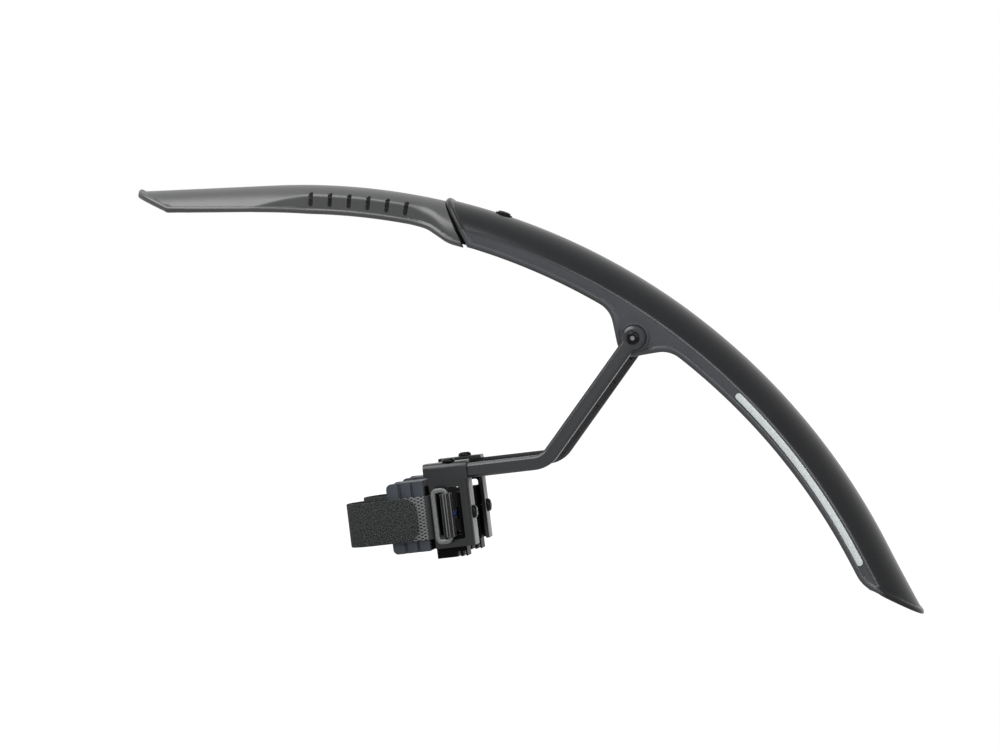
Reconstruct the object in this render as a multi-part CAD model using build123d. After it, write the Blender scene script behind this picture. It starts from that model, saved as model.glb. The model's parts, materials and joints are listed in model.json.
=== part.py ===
from build123d import *
from math import acos, cos, degrees, radians, sin, sqrt, tan
import os

# Front mudguard for a bicycle, in millimetres and degrees.
# +X points to the tail, +Y to the right of the bicycle and +Z up.
# The origin lies midway between the two fork-leg seats, in the plane of symmetry.
# Angles along the blade are polar angles about the wheel axle, from +X towards +Z.

# Place of the wheel axle
AXLE_X = -51.4
AXLE_Z = -188.2

# Blade
CROWN_R = 380.0
BLADE_WIDTH = 53.0
BLADE_WALL = 2.0
ARCH_SPREAD = 2.7
CROWN_RISE = 14.4
BAND_DEPTH = 8.1
FRONT_ANGLE = 77.1
FRONT_LEAN = 29.1
FRONT_ROUND = 4.0
TAIL_ANGLE = 21.0
TAIL_FALL = 28.3
TAIL_ROUND = 18.0
BEAD_WIDTH = 2.4
BEAD_HEIGHT = 0.8

# Lugs and their bosses
LUG_ANGLE = 56.15
PIVOT_DROP = 28.6
LUG_R = 9.5
LUG_FLARE = 45.0
LUG_ROUND = 16.0
BOSS_R = 8.4
BOSS_HEIGHT = 1.2

# Reflective strips
STRIP_WIDTH = 3.8
STRIP_THICKNESS = 0.4
STRIP_DROP = 2.3
STRIP_FRONT_ANGLE = 45.4
STRIP_TAIL_ANGLE = 27.1

# Nose extension
NOSE_STEP = 1.4
NOSE_WALL = 2.0
NOSE_TANGENT_ANGLE = 92.2
NOSE_TIP_X = -97.4
NOSE_CUT_FALL = 25.4
NOSE_BLUNT = 1.0
NOSE_CORNER_ROUND = 6.0
NOSE_WIDTH = 51.6
WAIST_WIDTH = 37.8
WAIST_DEPTH = 16.5
WAIST_TANGENT_ANGLE = 88.9
WAIST_LOW_ANGLE = 78.2
REAR_LOW_ANGLE = 75.8
REAR_LOW_ROUND = 20.0
FLARE_FRONT_X = -27.0
WAIST_FRONT_X = 6.0
WAIST_REAR_X = 73.3
FLARE_REAR_X = 87.3
FRONT_FLARE_ROUND = 60.0
REAR_FLARE_ROUND = 24.0
RIM_WIDTH = 2.4
RIM_HEIGHT = 1.0
JOINT_GAP = 1.2
JOGGLE_LENGTH = 6.0
TONGUE_LENGTH = 36.0
TONGUE_CLEARANCE = 0.3
TONGUE_DEPTH = 19.0

# Slots in the waist
SLOT_COUNT = 6
SLOT_WIDTH = 2.6
SLOT_HEIGHT = 8.2
SLOT_FIRST_ANGLE = 88.75
SLOT_STEP_ANGLE = 1.72
SLOT_DROP = 8.3

# Fasteners
SHANK_R = 2.0
HOLE_CLEARANCE = 0.05
HEAD_R = 3.8
HEAD_HEIGHT = 2.2
HEAD_TOP_R = 2.2
SOCKET_R = 1.35
SOCKET_DEPTH = 1.1
NUT_R = 4.0
NUT_HEIGHT = 3.0
NUT_OVERHANG = 1.0
CROWN_SCREW_ANGLE = 72.0
CROWN_SEAT_R = 4.4
CROWN_SEAT_DEPTH = 0.4
NUT_BOSS_R = 5.2
NUT_BOSS_HEIGHT = 1.0
TOP_SCREW_TIP_GAP = 0.6

# Stays
STAY_HEIGHT = 8.2
STAY_THICKNESS = 6.0
STAY_BEVEL = 1.5
STAY_EYE_R = 6.7
STAY_BEND_X = 94.1
STAY_BEND_Z = 33.2
STAY_BEND_R = 14.0
STAY_END = 31.5
POCKET_WIDTH = 5.0
POCKET_DEPTH = 3.6
POCKET_MARGIN = 2.0
RIB_PITCH = 16.0
RIB_WIDTH = 1.0
WASHER_R = 6.4
WASHER_THICKNESS = 0.8
PIVOT_CLEARANCE = 0.05

# Clamps: distances along the stay's clamp end, across the bicycle and along the fork leg
CLAMP_TILT = 7.0
LEG_R = 13.0
LEG_OFFSET = 28.0
BRACKET_FRONT = 27.6
BRACKET_BACK = 52.6
BRACKET_STEP = 2.4
BRACKET_STEP_DROP = 7.1
BRACKET_LOW = -20.8
BRACKET_WALL = 2.0
BRACKET_BEND_R = 2.0
FLANGE_DEPTH = 17.0
TOP_FLANGE_DEPTH = 14.0
WINDOW_FRONT = 33.0
WINDOW_BACK = 47.5
WINDOW_LOW = -16.5
WINDOW_HIGH = 13.4
WINDOW_ROUND = 1.5
TOP_SCREW_PLACE = 42.2
SIDE_SCREW_HEIGHT = -2.2
SEAT_GAP = 0.1

# Pad and its carrier
PAD_FRONT = 6.0
PAD_BACK = 27.3
PAD_WIDTH = 25.0
PAD_LOW = -21.2
PAD_HIGH = 19.0
PAD_ROUND = 3.0
GROOVE_WIDTH = 1.6
GROOVE_DEPTH = 1.8
GROOVE_FRONT = 13.5
GROOVE_BACK = 20.7
LAND_DEPTH = 0.7
CARRIER_WALL = 3.2
CARRIER_SPINE = 3.0
CARRIER_SPINE_HIGH = 10.0
CARRIER_GAP = 2.6
CARRIER_WIDTH = 14.0
CARRIER_LOW = -20.5
CARRIER_HIGH = 15.4
CARRIER_ARM = 3.4
FOOT_LENGTH = 17.3
FOOT_DROP = 6.0
FOOT_NOTCH = 1.6
FOOT_NOTCH_COUNT = 2

# Strap, hook tab and ring
STRAP_WIDTH = 25.0
STRAP_CENTRE = -2.2
STRAP_THICKNESS = 1.6
STRAP_TURN_FRONT = -19.1
STRAP_END = 24.0
STRAP_END_ROUND = 5.0
STRAP_BEND_R = 5.0
LAYER_GAP = 0.1
PAD_GAP = 0.4
TAB_THICKNESS = 1.4
TAB_FRONT = 9.0
RING_FRONT = 32.5
RING_LENGTH = 10.7
RING_HEIGHT = 32.0
RING_BAR = 2.8
RING_ROUND = 2.6
RING_GAP = 2.4
STRAP_CROSS_PLACE = 37.5
STRAP_CROSS_DEPTH = 22.0

# How far cutting shapes reach past the material
SPARE = 5.0

# Values that follow from the sizes above
HALF_WIDTH = BLADE_WIDTH / 2
ARCH_ACROSS = HALF_WIDTH + ARCH_SPREAD
ARCH_UP = CROWN_RISE / (1 - sqrt(1 - (HALF_WIDTH / ARCH_ACROSS) ** 2))
CREASE_R = CROWN_R - CROWN_RISE
EDGE_R = CREASE_R - BAND_DEPTH
PIVOT_R = CROWN_R - PIVOT_DROP
SECTION_LOW_R = PIVOT_R - LUG_R - SPARE
NOSE_CROWN_R = CROWN_R - NOSE_STEP
WAIST_LOW_R = NOSE_CROWN_R - WAIST_DEPTH
STAY_IN = HALF_WIDTH + BOSS_HEIGHT + WASHER_THICKNESS + PIVOT_CLEARANCE
STAY_OUT = STAY_IN + STAY_THICKNESS
STAY_MID = STAY_IN + STAY_THICKNESS / 2
PLATE_IN = STAY_OUT + SEAT_GAP
PLATE_OUT = PLATE_IN + BRACKET_WALL
CARRIER_BACK = BRACKET_BACK - BRACKET_WALL - CARRIER_GAP
PAD_OUT = LEG_OFFSET + PAD_WIDTH / 2
PAD_IN = LEG_OFFSET - PAD_WIDTH / 2
TAB_IN = PAD_OUT + PAD_GAP
RUN_OUT = TAB_IN + TAB_THICKNESS + LAYER_GAP + STRAP_THICKNESS / 2
RUN_IN = PAD_IN - PAD_GAP - STRAP_THICKNESS / 2
RING_MID = PLATE_OUT + RING_GAP + RING_BAR / 2

AXLE = Vector(AXLE_X, 0, AXLE_Z)
AXLE_LINE = Axis(AXLE, (0, 1, 0))
SIDE = Plane(AXLE, x_dir=(1, 0, 0), z_dir=(0, -1, 0))
RADIAL = Plane(AXLE, x_dir=(0, 1, 0), z_dir=(1, 0, 0))
ALONG = Vector(cos(radians(CLAMP_TILT)), 0, sin(radians(CLAMP_TILT)))
UPWARD = Vector(-sin(radians(CLAMP_TILT)), 0, cos(radians(CLAMP_TILT)))
CLAMP_SIDE = Plane((0, 0, 0), x_dir=ALONG, z_dir=(0, -1, 0))
CLAMP_PLAN = Plane((0, 0, 0), x_dir=ALONG, z_dir=UPWARD)


def polar(radius, angle):
    """Point in the side view, measured from the axle."""
    return Vector(radius * cos(radians(angle)), radius * sin(radians(angle)))


def arc(radius, start, end):
    """Arc about the axle in the side view."""
    return ThreePointArc(polar(radius, start), polar(radius, (start + end) / 2), polar(radius, end))


def line_meets_circle(point, direction, radius):
    """Where a line through the point crosses a circle about the axle, nearest to the point."""
    along = point.dot(direction)
    reach = sqrt(along**2 - point.dot(point) + radius**2)
    step = min(-along + reach, -along - reach, key=abs)
    return point + direction * step


def round_corner(face, corner, radius):
    """Round the vertex of a flat face that lies nearest to the given corner."""
    vertex = face.vertices().sort_by_distance(corner)[0]
    return fillet(vertex, radius)


def rectangle_between(x0, y0, x1, y1):
    """Rectangle given by two opposite corners."""
    return Pos((x0 + x1) / 2, (y0 + y1) / 2) * Rectangle(x1 - x0, y1 - y0)


def side_prism(face, plane=SIDE, reach=BLADE_WIDTH):
    """Side-view face, carried right across the bicycle."""
    return extrude(plane * face, reach, both=True)


def side_slab(face, near, far, plane=CLAMP_SIDE):
    """Side-view face as a plate of the right half, between two distances from the middle."""
    return Pos(0, far, 0) * extrude(plane * face, far - near, dir=(0, -1, 0))


def plan_slab(face, low, high):
    """Face seen along the fork leg, as a block between two heights of the clamp."""
    return extrude(CLAMP_PLAN.offset(low) * face, high - low, dir=UPWARD)


def arch_face(half_width, crown_r, inset=0):
    """Section of the guard, moved in from its skin: an elliptic crown that meets two upright sides."""
    across = ARCH_ACROSS - inset
    up = ARCH_UP - inset
    shoulder = degrees(acos((half_width - inset) / across))
    middle = (0, crown_r - inset - up)
    crown = EllipticalCenterArc(middle, across, up, shoulder, arc_size=180 - 2 * shoulder)
    right_low = (half_width - inset, SECTION_LOW_R)
    left_low = (inset - half_width, SECTION_LOW_R)
    sides = [Line(crown @ 1, left_low), Line(left_low, right_low), Line(right_low, crown @ 0)]
    return make_face(Curve() + [crown] + sides)


def swept_arch(face, start, end):
    """Section turned about the axle between two polar angles."""
    first = (RADIAL * face).rotate(AXLE_LINE, 90 - start)
    return revolve(first, AXLE_LINE, start - end)


def mirrored(shape):
    """The same piece on the left of the bicycle."""
    return mirror(shape, about=Plane.XZ)


FRONT_TOP = polar(CROWN_R, FRONT_ANGLE)
FRONT_DOWN = Vector(sin(radians(FRONT_LEAN)), -cos(radians(FRONT_LEAN)))
FRONT_NORMAL = Vector(-cos(radians(FRONT_LEAN)), -sin(radians(FRONT_LEAN)))
TAIL_TIP = polar(CROWN_R, TAIL_ANGLE)
TAIL_IN = Vector(-cos(radians(TAIL_FALL)), sin(radians(TAIL_FALL)))
PIVOT = polar(PIVOT_R, LUG_ANGLE)
PIVOT_AT = SIDE.from_local_coords(PIVOT)


def lug_face(inset):
    """Flared lug round the pivot, up into the side band."""
    radius = LUG_R - inset
    rise = EDGE_R - PIVOT_R + BAND_DEPTH / 2
    touch_x = radius * cos(radians(LUG_FLARE))
    touch_y = -radius * sin(radians(LUG_FLARE))
    top_x = touch_x + (rise - touch_y) * tan(radians(LUG_FLARE))
    flare = Polygon((-touch_x, touch_y), (touch_x, touch_y), (top_x, rise), (-top_x, rise), align=None)
    return Pos(PIVOT.X, PIVOT.Y) * Rot(0, 0, LUG_ANGLE - 90) * (flare + Circle(radius))


def lug_corner(side, inset):
    """Point where one side of the lug would cross the lower edge of the band."""
    turn = radians(LUG_ANGLE) - side * radians(LUG_FLARE)
    direction = Vector(cos(turn), sin(turn))
    across = Vector(sin(turn), -cos(turn)) * (side * (LUG_R - inset))
    return line_meets_circle(PIVOT + across, direction, EDGE_R + inset)


def blade_outline(inset=0):
    """Side view of the blade, moved in from its edge: a band between two cuts, with the lug."""
    reach = 2 * (CROWN_R - EDGE_R + SPARE)
    front = FRONT_TOP - FRONT_NORMAL * inset
    tail = TAIL_TIP + Vector(sin(radians(TAIL_FALL)), cos(radians(TAIL_FALL))) * inset
    middle = polar(2 * CROWN_R, (FRONT_ANGLE + TAIL_ANGLE) / 2)
    sector = Polygon(
        front + FRONT_DOWN * reach,
        front - FRONT_DOWN * reach,
        middle,
        tail - TAIL_IN * reach,
        tail + TAIL_IN * reach,
        align=None,
    )
    edge_r = EDGE_R + inset
    outline = (Circle(CROWN_R + SPARE) - Circle(edge_r)) & sector
    outline = outline + lug_face(inset)
    front_low = line_meets_circle(front + FRONT_DOWN * (CROWN_R - edge_r), FRONT_DOWN, edge_r)
    tail_low = line_meets_circle(tail + TAIL_IN * (CROWN_R - edge_r), TAIL_IN, edge_r)
    outline = round_corner(outline, front_low, FRONT_ROUND - inset)
    outline = round_corner(outline, tail_low, TAIL_ROUND - inset)
    for side in (-1, 1):
        outline = round_corner(outline, lug_corner(side, inset), LUG_ROUND + inset)
    return outline


def radial_cylinder(radius, low_r, high_r):
    """Cylinder on the axis of the crown screw."""
    turn = radians(CROWN_SCREW_ANGLE)
    direction = Vector(cos(turn), 0, sin(turn))
    base = Plane(AXLE + direction * low_r, x_dir=(0, 1, 0), z_dir=direction)
    return extrude(base * Circle(radius), high_r - low_r)


def pivot_cylinder(radius, near, far):
    """Cylinder on the right pivot's axis, between two distances from the middle."""
    return side_slab(Pos(PIVOT.X, PIVOT.Y) * Circle(radius), near, far, SIDE)


def guard_blade():
    """Arched blade with side bands, edge bead, lugs and bosses."""
    angles = (FRONT_ANGLE + SPARE, TAIL_ANGLE - SPARE)
    outer = swept_arch(arch_face(HALF_WIDTH, CROWN_R), *angles)
    hollow = swept_arch(arch_face(HALF_WIDTH, CROWN_R, BLADE_WALL), *angles)
    proud = swept_arch(arch_face(HALF_WIDTH, CROWN_R, -BEAD_HEIGHT), *angles)
    outline = blade_outline()
    strip = outline - blade_outline(BEAD_WIDTH)
    blade = (outer & side_prism(outline)) + (proud & side_prism(strip))
    boss = pivot_cylinder(BOSS_R, HALF_WIDTH - BLADE_WALL, HALF_WIDTH + BOSS_HEIGHT)
    blade = (blade - hollow) + boss + mirrored(boss)
    hole = pivot_cylinder(SHANK_R + HOLE_CLEARANCE, 0, HALF_WIDTH + SPARE)
    blade = blade - hole - mirrored(hole)
    seat = radial_cylinder(CROWN_SEAT_R, CROWN_R - CROWN_SEAT_DEPTH, CROWN_R + SPARE)
    return blade - (seat + radial_cylinder(SHANK_R + HOLE_CLEARANCE, CREASE_R, CROWN_R))


def nose_arch(inset):
    """Solid arch of the nose, moved in from its outer skin: turned at the waist, straight at the tip."""
    face = arch_face(ARCH_ACROSS, NOSE_CROWN_R, inset)
    turned = swept_arch(face, NOSE_TANGENT_ANGLE, LUG_ANGLE)
    first = (RADIAL * face).rotate(AXLE_LINE, 90 - NOSE_TANGENT_ANGLE)
    turn = radians(NOSE_TANGENT_ANGLE)
    tip_reach = abs(NOSE_TIP_X) + SPARE
    return turned + extrude(first, tip_reach, dir=(-sin(turn), 0, cos(turn)))


def beyond_front(distance):
    """Half plane of the side view that starts at a distance ahead of the blade's front cut."""
    start = FRONT_TOP + FRONT_NORMAL * distance
    reach = CROWN_R
    far = FRONT_NORMAL * reach
    return Polygon(
        start + FRONT_DOWN * reach,
        start - FRONT_DOWN * reach,
        start - FRONT_DOWN * reach + far,
        start + FRONT_DOWN * reach + far,
        align=None,
    )


def nose_outline():
    """Side view of the nose: slanted tip, low straight edge, waist and the drop to the blade's edge."""
    turn = radians(NOSE_TANGENT_ANGLE)
    along = Vector(-sin(turn), cos(turn))
    tangent = polar(NOSE_CROWN_R, NOSE_TANGENT_ANGLE)
    tip_x = NOSE_TIP_X - NOSE_BLUNT / tan(radians(NOSE_CUT_FALL))
    tip = tangent + along * ((tip_x - tangent.X) / along.X)
    fall = Vector(cos(radians(NOSE_CUT_FALL)), -sin(radians(NOSE_CUT_FALL)))
    low_turn = radians(WAIST_TANGENT_ANGLE)
    low_along = Vector(-sin(low_turn), cos(low_turn))
    low_start = polar(WAIST_LOW_R, WAIST_TANGENT_ANGLE)
    gap = low_start - tip
    share = (gap.X * low_along.Y - gap.Y * low_along.X) / (fall.X * low_along.Y - fall.Y * low_along.X)
    corner = tip + fall * share
    waist_end = polar(WAIST_LOW_R, WAIST_LOW_ANGLE)
    rear_start = polar(EDGE_R, REAR_LOW_ANGLE)
    rear_angle = LUG_ANGLE
    ceiling = CROWN_R + 2 * SPARE
    blunt = tip + fall * (NOSE_BLUNT / sin(radians(NOSE_CUT_FALL)))
    above = Vector(blunt.X, CROWN_R + 2 * SPARE)
    edges = [
        Line(above, blunt),
        Line(blunt, corner),
        Line(corner, low_start),
        arc(WAIST_LOW_R, WAIST_TANGENT_ANGLE, WAIST_LOW_ANGLE),
        Line(waist_end, rear_start),
        arc(EDGE_R, REAR_LOW_ANGLE, rear_angle),
        Line(polar(EDGE_R, rear_angle), polar(ceiling, rear_angle)),
        Line(polar(ceiling, rear_angle), (polar(ceiling, rear_angle).X, 2 * CROWN_R)),
        Line((polar(ceiling, rear_angle).X, 2 * CROWN_R), (above.X, 2 * CROWN_R)),
        Line((above.X, 2 * CROWN_R), above),
    ]
    outline = make_face(Curve() + edges)
    outline = round_corner(outline, corner, NOSE_CORNER_ROUND)
    outline = round_corner(outline, waist_end, REAR_LOW_ROUND)
    return round_corner(outline, rear_start, REAR_LOW_ROUND)


def nose_plan():
    """Nose seen from above: full width at the tip, a waist for the fork crown, blade width at the back."""
    tip = NOSE_TIP_X - 2 * SPARE
    back = polar(CROWN_R, LUG_ANGLE).X
    right = [
        (tip, NOSE_WIDTH / 2),
        (FLARE_FRONT_X, NOSE_WIDTH / 2),
        (WAIST_FRONT_X, WAIST_WIDTH / 2),
        (WAIST_REAR_X, WAIST_WIDTH / 2),
        (FLARE_REAR_X, HALF_WIDTH),
        (back, HALF_WIDTH),
    ]
    left = [(x, -y) for x, y in reversed(right)]
    plan = Polygon(*right, *left, align=None)
    rounds = (FRONT_FLARE_ROUND, FRONT_FLARE_ROUND, REAR_FLARE_ROUND, REAR_FLARE_ROUND)
    for (x, y), radius in zip(right[1:5], rounds):
        plan = round_corner(plan, Vector(x, y), radius)
        plan = round_corner(plan, Vector(x, -y), radius)
    return plan


def plan_prism(face):
    """Plan-view face, carried up through the whole guard."""
    return extrude(Pos(AXLE_X, 0, AXLE_Z) * face, 2 * CROWN_R, dir=(0, 0, 1))


def slot_faces():
    """Row of upright slots across the crease of the waist, in the side view."""
    middle_r = NOSE_CROWN_R - SLOT_DROP
    slots = []
    for place in range(SLOT_COUNT):
        angle = SLOT_FIRST_ANGLE - place * SLOT_STEP_ANGLE
        centre = polar(middle_r, angle)
        slots.append(Pos(centre.X, centre.Y) * Rot(0, 0, angle) * SlotOverall(SLOT_HEIGHT, SLOT_WIDTH))
    return Sketch() + slots


def nose_extension():
    """Waisted nose shell with a rim, slots and a joggled tongue under the blade."""
    outline = nose_outline()
    plan = nose_plan()
    ahead = beyond_front(JOINT_GAP)
    past_joggle = beyond_front(JOINT_GAP + JOGGLE_LENGTH)
    skin_side = outline & ahead
    skin = nose_arch(0) & plan_prism(plan) & side_prism(skin_side)
    strip = skin_side & (outline - offset(outline, -RIM_WIDTH))
    rim = nose_arch(-RIM_HEIGHT) & plan_prism(offset(plan, RIM_HEIGHT)) & side_prism(strip)
    cavity = nose_arch(NOSE_WALL) & plan_prism(offset(plan, -NOSE_WALL)) & side_prism(past_joggle)

    inset = BLADE_WALL + TONGUE_CLEARANCE
    angles = (NOSE_TANGENT_ANGLE, LUG_ANGLE)
    tongue_arch = arch_face(HALF_WIDTH, CROWN_R, inset)
    under = inset + NOSE_WALL
    hollow_arch = arch_face(HALF_WIDTH, CROWN_R, under)
    low = Circle(CROWN_R + SPARE) - Circle(CROWN_R - TONGUE_DEPTH)
    tongue_side = (beyond_front(-TONGUE_LENGTH) - past_joggle) & low
    tongue = swept_arch(tongue_arch, *angles) & side_prism(tongue_side)
    behind_joggle = beyond_front(-TONGUE_LENGTH - SPARE) - past_joggle
    hollow = swept_arch(hollow_arch, *angles) & side_prism(behind_joggle)

    inner_r = CROWN_R - under
    boss = radial_cylinder(NUT_BOSS_R, inner_r - NUT_BOSS_HEIGHT, inner_r + NOSE_WALL / 2)
    hole = radial_cylinder(SHANK_R + HOLE_CLEARANCE, inner_r - SPARE, CROWN_R)
    nose = (skin + rim + tongue) - cavity - hollow
    return nose + boss - hole - side_prism(slot_faces())


def button_screw(length):
    """Screw with a bevelled button head and a hexagon socket; the head stands on the plane z = 0."""
    half = Polygon(
        (0, -length),
        (SHANK_R, -length),
        (SHANK_R, 0),
        (HEAD_R, 0),
        (HEAD_TOP_R, HEAD_HEIGHT),
        (0, HEAD_HEIGHT),
        align=None,
    )
    screw = revolve(Plane.XZ * half, Axis.Z)
    socket = extrude(Pos(0, 0, HEAD_HEIGHT - SOCKET_DEPTH) * RegularPolygon(SOCKET_R, 6), SOCKET_DEPTH)
    return screw - socket


def hex_nut():
    """Hexagon nut under the plane z = 0."""
    nut = extrude(RegularPolygon(NUT_R, 6), -NUT_HEIGHT)
    return nut - Cylinder(SHANK_R + HOLE_CLEARANCE, 2 * (NUT_HEIGHT + SPARE))


def crown_fasteners():
    """Screw through the crown and the nut under the tongue."""
    turn = radians(CROWN_SCREW_ANGLE)
    direction = Vector(cos(turn), 0, sin(turn))
    seat_r = CROWN_R - CROWN_SEAT_DEPTH
    nut_r = CROWN_R - BLADE_WALL - TONGUE_CLEARANCE - NOSE_WALL - NUT_BOSS_HEIGHT
    length = seat_r - nut_r + NUT_HEIGHT + NUT_OVERHANG
    screw = Plane(AXLE + direction * seat_r, x_dir=(0, 1, 0), z_dir=direction) * button_screw(length)
    nut = Plane(AXLE + direction * nut_r, x_dir=(0, 1, 0), z_dir=direction) * hex_nut()
    return screw, nut


def reflective_strip():
    """Thin strip on the right side band, with round ends."""
    middle_r = CREASE_R - STRIP_DROP
    half = STRIP_WIDTH / 2
    ends = [polar(middle_r, STRIP_FRONT_ANGLE), polar(middle_r, STRIP_TAIL_ANGLE)]
    outer = arc(middle_r + half, STRIP_FRONT_ANGLE, STRIP_TAIL_ANGLE)
    inner = arc(middle_r - half, STRIP_TAIL_ANGLE, STRIP_FRONT_ANGLE)
    links = [Line(outer @ 1, inner @ 0), Line(inner @ 1, outer @ 0)]
    face = make_face(Curve() + [outer, inner] + links)
    face = face + [Pos(end.X, end.Y) * Circle(half) for end in ends]
    return side_slab(face, HALF_WIDTH, HALF_WIDTH + STRIP_THICKNESS, SIDE)


def pivot_fasteners():
    """Bolt, friction washer and nut of the right pivot."""
    across = Plane(PIVOT_AT, x_dir=(1, 0, 0), z_dir=(0, 1, 0))
    inner_face = HALF_WIDTH - BLADE_WALL
    head_face = STAY_OUT + PIVOT_CLEARANCE
    bolt = across.offset(head_face) * button_screw(head_face - inner_face + NUT_HEIGHT + NUT_OVERHANG)
    nut = across.offset(inner_face) * hex_nut()
    boss_face = HALF_WIDTH + BOSS_HEIGHT
    washer = pivot_cylinder(WASHER_R, boss_face, boss_face + WASHER_THICKNESS)
    washer -= pivot_cylinder(SHANK_R + HOLE_CLEARANCE, 0, STAY_OUT)
    return bolt, washer, nut


BEND = Vector(STAY_BEND_X, STAY_BEND_Z)
BEND_ALONG = BEND.X * ALONG.X + BEND.Y * ALONG.Z
BEND_UP = BEND.X * UPWARD.X + BEND.Y * UPWARD.Z
STAY_TOP = BEND_UP + STAY_HEIGHT / 2
STAY_LOW = BEND_UP - STAY_HEIGHT / 2
FLANGE_TOP = STAY_TOP + SEAT_GAP + BRACKET_WALL


def stay_pockets(path, start):
    """Row of pockets in the stay's inboard face, parted by thin ribs, from the eye to the bracket."""
    section = Pos((POCKET_DEPTH - STAY_THICKNESS) / 2, 0) * Rectangle(POCKET_DEPTH, POCKET_WIDTH)
    channel = sweep(start * section, path)
    channel -= pivot_cylinder(STAY_EYE_R + POCKET_MARGIN, 0, STAY_OUT)
    solid_end = rectangle_between(STAY_END - SPARE, STAY_LOW, BRACKET_BACK + POCKET_MARGIN, STAY_TOP)
    channel -= side_slab(solid_end, 0, STAY_OUT)
    count = round(path.length / RIB_PITCH)
    rib = Box(2 * STAY_THICKNESS, STAY_HEIGHT, RIB_WIDTH)
    shares = [place / count for place in range(1, count)]
    return channel - [Plane(path @ share, x_dir=(0, 1, 0), z_dir=path % share) * rib for share in shares]


def stay():
    """Moulded bar of the right side: eye at the pivot, one bend, straight end in the clamp bracket."""
    eye = Vector(PIVOT_AT.X, 0, PIVOT_AT.Z)
    bend = Vector(BEND.X, 0, BEND.Y)
    end = bend + ALONG * (STAY_END - BEND_ALONG)
    path = Pos(0, STAY_MID, 0) * FilletPolyline(eye, bend, end, radius=STAY_BEND_R)
    half_height = STAY_HEIGHT / 2
    half_thick = STAY_THICKNESS / 2
    start = Plane(path @ 0, x_dir=(0, 1, 0), z_dir=path % 0)
    section = Polygon(
        (-half_thick, -half_height),
        (half_thick - STAY_BEVEL, -half_height),
        (half_thick, STAY_BEVEL - half_height),
        (half_thick, half_height - STAY_BEVEL),
        (half_thick - STAY_BEVEL, half_height),
        (-half_thick, half_height),
        align=None,
    )
    bar = sweep(start * section, path) - stay_pockets(path, start)
    disc = pivot_cylinder(STAY_EYE_R, STAY_IN, STAY_OUT)
    outer_edge = disc.edges().filter_by(GeomType.CIRCLE).sort_by(Axis.Y)[-1]
    bar = bar + chamfer(outer_edge, STAY_BEVEL)
    bar -= pivot_cylinder(SHANK_R + PIVOT_CLEARANCE, 0, STAY_OUT + SPARE)
    return bar - top_screw_hole()


def top_screw_plane(height):
    """Plane across the top screw's axis at a height of the clamp."""
    foot = ALONG * TOP_SCREW_PLACE + UPWARD * height + Vector(0, STAY_MID, 0)
    return Plane(foot, x_dir=ALONG, z_dir=UPWARD)


def top_screw_hole():
    """Hole for the top screw, through the flange and into the stay."""
    depth = FLANGE_TOP - STAY_LOW
    return extrude(top_screw_plane(FLANGE_TOP) * Circle(SHANK_R + HOLE_CLEARANCE), -depth)


def side_screw_plane(place):
    """Plane across the side screw's axis at a place along the clamp."""
    foot = ALONG * place + UPWARD * SIDE_SCREW_HEIGHT + Vector(0, LEG_OFFSET, 0)
    return Plane(foot, x_dir=UPWARD, z_dir=ALONG)


def side_screw_hole():
    """Hole for the side screw, through the rear flange and the carrier's spine."""
    depth = BRACKET_BACK - CARRIER_BACK + CARRIER_SPINE + SPARE
    return extrude(side_screw_plane(BRACKET_BACK) * Circle(SHANK_R + HOLE_CLEARANCE), -depth)


def bent_strip(length, height):
    """Angle section of bent sheet, with its outer corner at the origin and both legs along -x and -y."""
    strip = Polygon(
        (0, 0),
        (-length, 0),
        (-length, -BRACKET_WALL),
        (-BRACKET_WALL, -BRACKET_WALL),
        (-BRACKET_WALL, -height),
        (0, -height),
        align=None,
    )
    strip = round_corner(strip, Vector(-BRACKET_WALL, -BRACKET_WALL), BRACKET_BEND_R)
    return round_corner(strip, Vector(0, 0), BRACKET_BEND_R + BRACKET_WALL)


def clamp_bracket():
    """Bent sheet bracket of the right side: outer plate with a window, top flange and rear flange."""
    length = BRACKET_BACK - BRACKET_FRONT
    across = Plane(ALONG * BRACKET_FRONT, x_dir=(0, 1, 0), z_dir=ALONG)
    top_section = Pos(PLATE_OUT, FLANGE_TOP) * bent_strip(TOP_FLANGE_DEPTH, FLANGE_TOP - BRACKET_LOW)
    top = extrude(across * top_section, length, dir=ALONG)
    back_corner = Pos(BRACKET_BACK, PLATE_OUT)
    back_top = STAY_LOW - SEAT_GAP
    back = plan_slab(back_corner * bent_strip(length, FLANGE_DEPTH), BRACKET_LOW, back_top)
    bend = BRACKET_BEND_R + BRACKET_WALL
    sharp = back_corner * Polygon((0, 0), (-bend, 0), (0, -bend), align=None)
    bracket = top - plan_slab(sharp, BRACKET_LOW, back_top) + back
    window = rectangle_between(WINDOW_FRONT, WINDOW_LOW, WINDOW_BACK, WINDOW_HIGH)
    window = fillet(window.vertices(), WINDOW_ROUND)
    bracket -= side_slab(window, PLATE_IN - SEAT_GAP, PLATE_OUT + SPARE)
    step_back = BRACKET_FRONT + BRACKET_STEP
    step_top = FLANGE_TOP - BRACKET_STEP_DROP
    step = rectangle_between(BRACKET_FRONT - SPARE, BRACKET_LOW - SPARE, step_back, step_top)
    step = round_corner(step, Vector(step_back, step_top), BRACKET_STEP / 2)
    bracket -= side_slab(step, 0, PLATE_OUT + SPARE)
    return bracket - top_screw_hole() - side_screw_hole()


def clamp_screws():
    """Top screw into the stay and side screw through the rear flange into the carrier's nut."""
    top = top_screw_plane(FLANGE_TOP) * button_screw(FLANGE_TOP - STAY_LOW - TOP_SCREW_TIP_GAP)
    reach = BRACKET_BACK - CARRIER_BACK + CARRIER_SPINE + NUT_HEIGHT + NUT_OVERHANG
    side = side_screw_plane(BRACKET_BACK) * button_screw(reach)
    return Compound(children=[top, side])


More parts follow.
